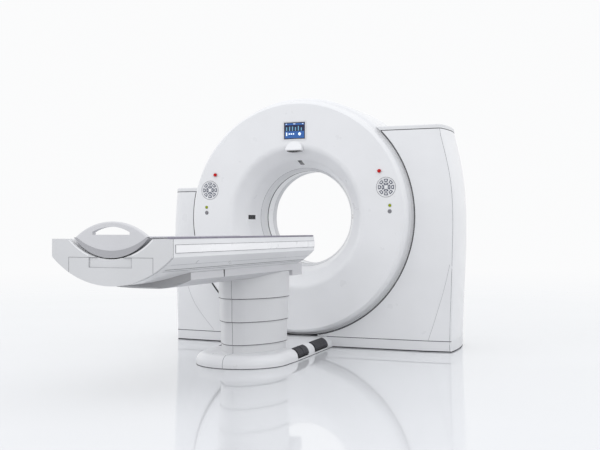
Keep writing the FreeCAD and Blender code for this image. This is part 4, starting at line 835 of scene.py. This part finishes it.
class SCANNER_OT_table_joints(bpy.types.Operator):
    """Draws the joints of the table top: foot cap, lower foot panel with its grip, side strips and belly,
    with painted shade at the grip and round the belly, and a painted highlight on the bowl's rim
    """
    bl_idname = "scanner.table_joints"
    bl_label = "Table joints"

    bowl_r, bowl_z = 0.374, 1.160  # radius and axis height of the bowl that the cradle lies in
    notch_w, notch_z = 0.137, 0.740  # half width and foot of the grip's notch
    wall_x = 0.375  # the housing's side walls lie beyond this
    groove_end = -0.954  # where the lines along the flank stop
    lit_plate_start = -2.60  # where the lit plates of the belly start
    gap_r, gap_deg = (0.5385, 0.565), 25.6  # radii and half angle of the dark filling of painted shade behind the belly
    gap_x, gap_z = (0.2450, 0.2510), (0.6555, 0.6988)  # its upright sides
    # lines along the flank: angle from straight down, width, finish
    flank = ((31.5, 0.0036, "joint_soft"), (33.5, 0.0042, "joint_dark"), (38.5, 0.0030, "crease_grey"))

    def outside(self, point, out):
        """The housing's side walls and round underside, without the bowl."""
        flat = Vector((point.x, 0, point.z - TABLE_AXIS_Z))
        wall = abs(out.x) > 0.9 and abs(point.x) > self.wall_x
        return wall or (flat.length > TABLE_R - 0.008 and out.dot(flat) > 0)

    def execute(self, context):
        self.foot(context.scene.scanner_sizes.fine_seam_width)
        self.sides()
        self.belly_gap()
        self.belly_plates()
        return {"FINISHED"}

    def foot(self, width):
        """The joint of the foot cap, the outline of its panel, painted shade on the edges of the grip's
        recess, and a painted highlight along the bowl's rim.
        """
        housing, cap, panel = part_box("table_housing"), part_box("foot_cap"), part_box("foot_panel")
        seam("foot_cap_joint", "table_housing", "y", housing[0].y + 0.0008, self.outside, -0.00095, width,
             0.0004, "joint_dark", "tabletop", 0.003)
        y = cap[0].y

        def on_face(*places):
            """A line on the foot's end face through (x, z) places."""
            return [(Vector((x, y, z)), FRONT) for x, z in places]
        w, top = panel[1].x + 0.00015, panel[1].z + 0.00015
        low = TABLE_AXIS_Z - sqrt(TABLE_R ** 2 - w ** 2)
        reach = sqrt(self.bowl_r ** 2 - (self.bowl_z - top) ** 2)
        lines = []
        for side in (-1, 1):
            lines.append(on_face((side * w, low), (side * w, top)))
            lines.append(on_face((side * w, top), (side * reach, top)))
        bead("foot_panel_joint", lines, width * 0.8, 0.0003, "joint_dark", "tabletop", 0.002)
        # a pale strip of painted highlight along the bowl's rounded rim
        lines = [[(hung(self.bowl_r + 0.006, side * a, y, self.bowl_z), FRONT) for a in angles(21.5, 45, 24)]
                 for side in (-1, 1)]
        bead("bowl_rim", lines, 0.007, 0.0006, "visor_white", "tabletop", 0.002)
        w, z, top = self.notch_w, self.notch_z, panel[1].z
        lines = [on_face((-w, z), (-w, top)), on_face((w, z), (w, top)), on_face((-w, z), (w, z))]
        # painted shade on the edges of the grip's recess
        bead("foot_grip_edge", lines, width * 0.6, 0.0003, "joint_soft", "tabletop", 0.002)

    def sides(self):
        """The edges of the side strips and the lines along the flank."""
        low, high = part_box("side_strips")
        lines = []
        for side in (-1, 1):
            out, x = Vector((side, 0, 0)), side * (high.x - 0.005)
            for z in (low.z - 0.0006, high.z + 0.0006):
                lines.append([(Vector((x, y, z)), out) for y in (low.y - 0.001, high.y)])
            lines.append([(Vector((x, low.y - 0.0006, z)), out) for z in (low.z - 0.001, high.z + 0.001)])
        bead("strip_edges", lines, 0.0040, 0.0012, "joint_soft", "tabletop", 0.002)
        ends = (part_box("table_housing")[0].y + 0.062, self.groove_end)
        for angle, wide, finish in self.flank:
            turns = (-radians(angle), radians(angle))
            lines = [[(hung(TABLE_R, a, y), hung(1.0, a, 0, 0)) for y in ends] for a in turns]
            bead(f"flank_line_{round(angle)}", lines, wide, 0.0003, finish, "tabletop", 0.002)

    def belly_gap(self):
        """Painted shade: a dark filling in the gap between the belly and the carriage."""
        start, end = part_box("belly_cover")[1].y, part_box("carriage_cover")[0].y
        near, far = start + 0.0004, end - 0.0004
        (inner, outer), (x0, x1), (z0, z1) = self.gap_r, self.gap_x, self.gap_z
        outline = ((inner, near), (inner, far), (outer, far), (outer, near))
        shells = [[[hung(r, a, y) for r, y in outline] for a in angles(-self.gap_deg, self.gap_deg, 32)]]
        for left, right in ((-x1, -x0), (x0, x1)):
            shells.append(box((left, start - 0.003, z0), (right, end + 0.003, z1)))
        solid("belly_gap", shells, "joint_dark", "tabletop", smooth=False)

    def belly_plates(self):
        """The plates over the belly's two flanks, a little proud of it, in the belly's own lighter grey: lit
        copies beside the belly's painted shade.
        """
        low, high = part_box("belly_cover")
        radius, proud, sunk, arc = TABLE_AXIS_Z - low.z, 0.0006, -0.0015, angles(5, 25.75, 12)
        shape = [hung(radius + proud, a, 0) for a in arc]
        shape += [Vector((high.x + lift, 0, high.z - 0.001)) for lift in (proud, sunk)]
        shape += [hung(radius + sunk, a, 0) for a in arc[::-1]]
        shells = [[[(side * p.x, y, p.z) for p in shape] for y in (self.lit_plate_start, high.y - 0.001)]
                  for side in (-1, 1)]
        solid("belly_plates", shells, "handle_grey", "tabletop", smooth=False)


class SCANNER_OT_pedals(bpy.types.Operator):
    """Ribs the pedals' treads and frames their openings in the base cover"""
    bl_idname = "scanner.pedals"
    bl_label = "Pedals"

    # half width of the base at both ends of its straight sides, and their distance from the bore's middle
    half, start = 0.333, 1.18
    rear_half, rear_start = 0.288, 0.3018
    taper = atan((half - rear_half) / (start - rear_start))
    shoulder = 0.060  # radius of the base's rounded shoulder
    middle_z = 0.025  # height of that radius's centre
    low, high = -11.0, 88.0  # angles over the shoulder where the openings end
    # middle along the base, length, ribs beyond rib_count, stretches of ribs as shares of the half length
    kinds = {"height": (-1.025, 0.230, 0, ((-1, -0.09), (0.09, 1))),
             "release": (-0.595, 0.310, 6, ((-1, 1),))}

    def arc(self, radius, low, high, steps=10):
        """Points over the shoulder and down the upright edge, with that edge at the origin, as (x, z)."""
        return [(radius * cos(max(a, 0.0)) - self.shoulder, self.middle_z + radius * sin(a))
                for a in angles(low, high, steps)]

    def place(self, x, y, z, along):
        """A point drawn at the origin, taken to the right-hand edge of the base at a place along it."""
        c, s = cos(self.taper), sin(self.taper)
        edge = self.half - (along + self.start) * tan(self.taper)
        return Vector((edge + x * c - y * s, along + x * s + y * c, z))

    def outward(self, x, z, along):
        """Away from the shoulder's centre, at a point of the arc."""
        return (self.place(x, 0, z, along) - self.place(-self.shoulder, 0, self.middle_z, along)).normalized()

    def rib(self, name, width, flip):
        """One rib over the tread, at the origin, turned like the base's side."""
        bm = bmesh.new()
        outline = self.arc(0.0655, 14, 66) + self.arc(0.0673, 15, 65)[::-1]
        zero = self.place(0, 0, 0, 0)
        skin(bm, [[(self.place(x, y, z, 0) - zero) * flip for x, z in outline]
                  for y in (-width / 2, width / 2)])
        return plain_object(name, bm)

    def frame(self, along, length, flip):
        """The four lines round one opening: two over the shoulder and two along it."""
        reach = length / 2 + 0.0105
        lines = [[(self.place(x, end * reach, z, along) * flip, self.outward(x, z, along) * flip)
                  for x, z in self.arc(self.shoulder, self.low, self.high)] for end in (-1, 1)]
        for x, z in self.arc(self.shoulder, self.low, self.high, 1):
            lines.append([(self.place(x, end * (reach + 0.002), z, along) * flip,
                           self.outward(x, z, along) * flip) for end in (-1, 1)])
        return lines

    def execute(self, context):
        ribs = context.scene.scanner_sizes.rib_count
        tree = row_tree("Row of ribs")
        for side, word in ((1, "right"), (-1, "left")):
            flip = Vector((side, 1, 1))
            frames = []
            for kind, (along, length, more, stretches) in self.kinds.items():
                half = length / 2 - 0.006
                count = max(3, (ribs + more) // len(stretches))
                for n, shares in enumerate(stretches):
                    first, last = [self.place(0, half * share, 0, along) * flip for share in shares]
                    rib = self.rib(f"{kind}_rib_{word}", 0.0032, flip)
                    row = tree.grow(f"{kind}_pedal_ribs_{n}_{word}", Shape=rib, Count=count, Start=first,
                                    End=last, Finish=FINISH["tread_rubber"])
                    dress(row, None, f"{kind}_pedal_{word}", smooth=False, slot="pedal_rubber")
                frames += self.frame(along, length, flip)
            bead("pedal_frames_" + word, frames, 0.004, 0.0012, "bezel_grey", "gantry", 0.002)
        return {"FINISHED"}


class SCANNER_OT_screws(bpy.types.Operator):
    """Puts countersunk screws down the outer edge of each rear cover"""
    bl_idname = "scanner.screws"
    bl_label = "Rear screws"

    socket_z = 0.0004  # depth of the socket in the head
    head = ((0.0018, 0.0004), (0.002, 0.0012), (0.0052, 0.0016), (0.006, 0.0010), (0.006, -0.002))
    # both ends of each row as (x, z), and how many screws fewer than screw_count it has
    rows = {"right_low": ((1.192, 0.14), (1.218, 0.93), 0), "right_high": ((1.214, 1.10), (1.110, 1.69), 2),
            "left": ((-1.142, 0.14), (-1.166, 1.19), 0)}

    def screw(self):
        """A round head with a socket, open below, where it's sunk in the cover."""
        bm = bmesh.new()
        tip = bm.verts.new((0, 0, self.socket_z))
        rings = [[bm.verts.new((r * cos(a), r * sin(a), z)) for a in angles(0, 360, 24)[:-1]]
                 for r, z in self.head]
        sheet(bm, [ring + ring[:1] for ring in rings])
        for one, other in zip(rings[0], rings[0][1:] + rings[0][:1]):
            bm.faces.new((tip, one, other))
        return plain_object("screw_head", bm)

    def execute(self, context):
        count = context.scene.scanner_sizes.screw_count
        tree, head, y = row_tree("Row of screws"), self.screw(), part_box("rear_covers")[1].y
        for word, ((x0, z0), (x1, z1), fewer) in self.rows.items():
            row = tree.grow("rear_screws_" + word, Shape=head, Count=count - fewer, Start=(x0, y, z0),
                            End=(x1, y, z1), Turn=(-pi / 2, 0.0, 0.0), Finish=FINISH["machined_steel"])
            dress(row, None, "gantry", slot="machined_steel")
        return {"FINISHED"}


class SCANNER_OT_mat(bpy.types.Operator):
    """Makes the pad on the cradle: thin foam in vinyl, crowned between sewn channels, with a rounded edge"""
    bl_idname = "scanner.mat"
    bl_label = "Mat"

    channels = (0.22, 0.42, 0.62, 0.81)  # places of the cross channels, as shares of the length
    hollow = 0.225  # half width of the cradle's hollow
    gap, edge = 0.0003, 0.002  # under the mat, and from the mat's top to the hollow's edge
    across, along = 44, 260  # faces of the grid
    # how far the pad takes to swell to its height from its edge and from a channel, and underneath
    edge_reach, channel_reach, under_reach = 0.016, 0.014, 0.010

    def soft(self, distance, reach):
        """How far the pad has swollen at a distance from a seam, as a share."""
        t = max(0.0, min(1.0, distance / reach))
        return sqrt(1 - (1 - t) ** 2)

    def execute(self, context):
        thick = context.scene.scanner_sizes.mat_thickness
        low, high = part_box("mat")
        rise = high.z + self.edge - low.z + self.gap
        radius = (self.hollow ** 2 + rise ** 2) / (2 * rise) - self.gap
        axis_z = low.z + radius
        limit = acos((axis_z - high.z) / radius) - 0.003
        length = high.y - low.y
        bm = bmesh.new()
        shells = []
        for top in (True, False):
            grid = []
            for j in range(self.along + 1):
                share = j / self.along
                y = low.y + length * (0.03 * (1 - cos(pi * share)) + 0.94 * share)
                y = min(y, high.y)
                channel = min(abs(y - low.y - at * length) for at in self.channels)
                row = []
                for i in range(self.across + 1):
                    a = limit * sin(pi * (i / self.across - 0.5))
                    edge = min((limit - abs(a)) * radius, y - low.y, high.y - y)
                    if top:
                        crown = 0.90 + 0.10 * cos(a / limit * pi / 2)
                        lift = 0.5 + 0.5 * self.soft(edge, self.edge_reach)
                        depth = thick * lift * crown * (0.74 + 0.26 * self.soft(channel, self.channel_reach))
                    else:
                        depth = thick * 0.5 * (1 - self.soft(edge, self.under_reach))
                    row.append(bm.verts.new(hung(radius - depth, a, y, axis_z)))
                grid.append(row)
            shells.append(grid)
            sheet(bm, grid)
        rims = [grid[0] + [row[-1] for row in grid[1:]] + grid[-1][-2::-1] + [row[0] for row in grid[-2::-1]]
                for grid in shells]
        sheet(bm, rims)
        bmesh.ops.remove_doubles(bm, verts=bm.verts, dist=1e-5)
        pad = piece("mat_pad", bm, "mat_grey", "cradle_slide", replaces=("mat",))
        return {"FINISHED"}


class SCANNER_OT_stage(bpy.types.Operator):
    """Sets up the pale floor, the soft lamps, the bright room and the camera"""
    bl_idname = "scanner.stage"
    bl_label = "Stage"

    # place, aim, width and depth, power
    lamps = {"overhead": ((0.8, -1.8, 5.0), (0.0, -1.0, 0.0), (6.0, 5.0), 8),
             "front_left": ((-5.0, -6.0, 2.6), (0.0, -0.6, 1.0), (3.5, 3.5), 20),
             "front_right": ((5.6, -4.4, 2.4), (0.4, -0.4, 1.0), (2.5, 3.0), 12)}
    fill = ((0.97, 0.98, 1.0, 1), 1.22)  # colour and strength of the room's light
    throw = (0.55, 0.555, 0.565, 1)  # what the floor throws up at the object is that of a greyer floor
    eye, yaw, pitch = (2.857, -7.359, 0.945), 22.0, 0.32
    sensor, lens = 36.0, 55.65

    def floor(self, colour):
        """A pale, half-glossy floor that runs into the backdrop without a horizon."""
        r = Recipe("studio_floor")
        r.give(Base_Color=r.cloudy(r.noise(0.7), colour, 0.985, 1.0),
               Roughness=r.span(r.noise(3.0, 3.0), 0.035, 0.055))
        path = r.node("ShaderNodeLightPath").outputs["Is Diffuse Ray"]
        throw = r.node("ShaderNodeBsdfDiffuse", {"Color": self.throw}).outputs[0]
        seen = r.node("ShaderNodeMixShader", {0: path, 1: r.shader.outputs[0], 2: throw}).outputs[0]
        away = r.node("ShaderNodeVectorMath", {0: r.place}, operation="LENGTH").outputs["Value"]
        glow = r.node("ShaderNodeEmission", {"Color": BACKDROP}).outputs[0]
        whole = r.node("ShaderNodeMixShader", {0: r.span(away, 0.0, 1.0, 5.5, 15.0), 1: seen, 2: glow})
        r.feed(r.out, "Surface", whole.outputs[0])
        bm = bmesh.new()
        bmesh.ops.create_grid(bm, x_segments=2, y_segments=2, size=60.0)
        bmesh.ops.translate(bm, vec=(0, 0, -0.001), verts=bm.verts)
        made = plain_object("studio_floor", bm)
        made.data.materials.append(r.material)
        link(made)

    def lamp(self, name, at, toward, size, power):
        """A soft lamp that no camera and no gloss sees."""
        light = bpy.data.lights.new(name, "AREA")
        light.shape = "RECTANGLE"
        light.size, light.size_y = size
        light.energy = power
        made = bpy.data.objects.new(name, light)
        made.location = at
        made.rotation_euler = (Vector(toward) - Vector(at)).to_track_quat("-Z", "Y").to_euler()
        link(made)
        made.visible_camera = made.visible_glossy = False

    def room(self):
        """The backdrop for the camera and for reflections, and a brighter room for the light."""
        world = bpy.data.worlds.new("studio_room")
        bpy.context.scene.world = world
        world.use_nodes = True
        t = Tree(world.node_tree)
        path = t.node("ShaderNodeLightPath").outputs
        either = t.node("ShaderNodeMath", {0: path["Is Camera Ray"], 1: path["Is Glossy Ray"]},
                        operation="MAXIMUM").outputs[0]
        fill = t.node("ShaderNodeBackground", {0: self.fill[0], 1: self.fill[1]}).outputs[0]
        seen = t.node("ShaderNodeBackground", {0: BACKDROP, 1: 1.0}).outputs[0]
        mix = t.node("ShaderNodeMixShader", {0: either, 1: fill, 2: seen}).outputs[0]
        t.node("ShaderNodeOutputWorld", {"Surface": mix})

    def camera(self):
        """The place and lens that the photograph was taken with."""
        data = bpy.data.cameras.new("photo_camera")
        data.sensor_width, data.lens = self.sensor, self.lens
        data.clip_end = 200.0
        made = bpy.data.objects.new("photo_camera", data)
        made.location = self.eye
        made.rotation_euler = (radians(90 + self.pitch), 0, radians(self.yaw))
        link(made)
        bpy.context.scene.camera = made

    def execute(self, context):
        self.floor(tuple(context.scene.scanner_colours.floor))
        self.room()
        for name, values in self.lamps.items():
            self.lamp(name, *values)
        context.scene.view_settings.view_transform = "Standard"
        self.camera()
        return {"FINISHED"}


STEPS = (SCANNER_OT_finishes, SCANNER_OT_display, SCANNER_OT_keypads, SCANNER_OT_button_rings,
         SCANNER_OT_gantry_joints, SCANNER_OT_bore_joints, SCANNER_OT_column, SCANNER_OT_table_joints,
         SCANNER_OT_pedals, SCANNER_OT_screws, SCANNER_OT_mat, SCANNER_OT_stage)


class SCANNER_PT_panel(bpy.types.Panel):
    """Lists the steps that dress the scanner"""
    bl_idname = "SCANNER_PT_panel"
    bl_label = "CT scanner"
    bl_space_type = "VIEW_3D"
    bl_region_type = "UI"
    bl_category = "Scanner"

    def draw(self, context):
        column = self.layout.column()
        for group in (context.scene.scanner_sizes, context.scene.scanner_colours):
            for key in group.__annotations__:
                column.prop(group, key)
        for step in STEPS:
            column.operator(step.bl_idname)


CLASSES = (ScannerSizes, ScannerColours, *STEPS, SCANNER_PT_panel)


def register():
    """Adds the scanner's classes to Blender."""
    for kind in CLASSES:
        bpy.utils.register_class(kind)
    bpy.types.Scene.scanner_sizes = PointerProperty(type=ScannerSizes)
    bpy.types.Scene.scanner_colours = PointerProperty(type=ScannerColours)


def unregister():
    """Takes them out again."""
    del bpy.types.Scene.scanner_colours
    del bpy.types.Scene.scanner_sizes
    for kind in reversed(CLASSES):
        bpy.utils.unregister_class(kind)


def main():
    """Runs every step in order."""
    register()
    for step in STEPS:
        group, name = step.bl_idname.split(".")
        getattr(getattr(bpy.ops, group), name)()


if __name__ == "__main__":
    main()
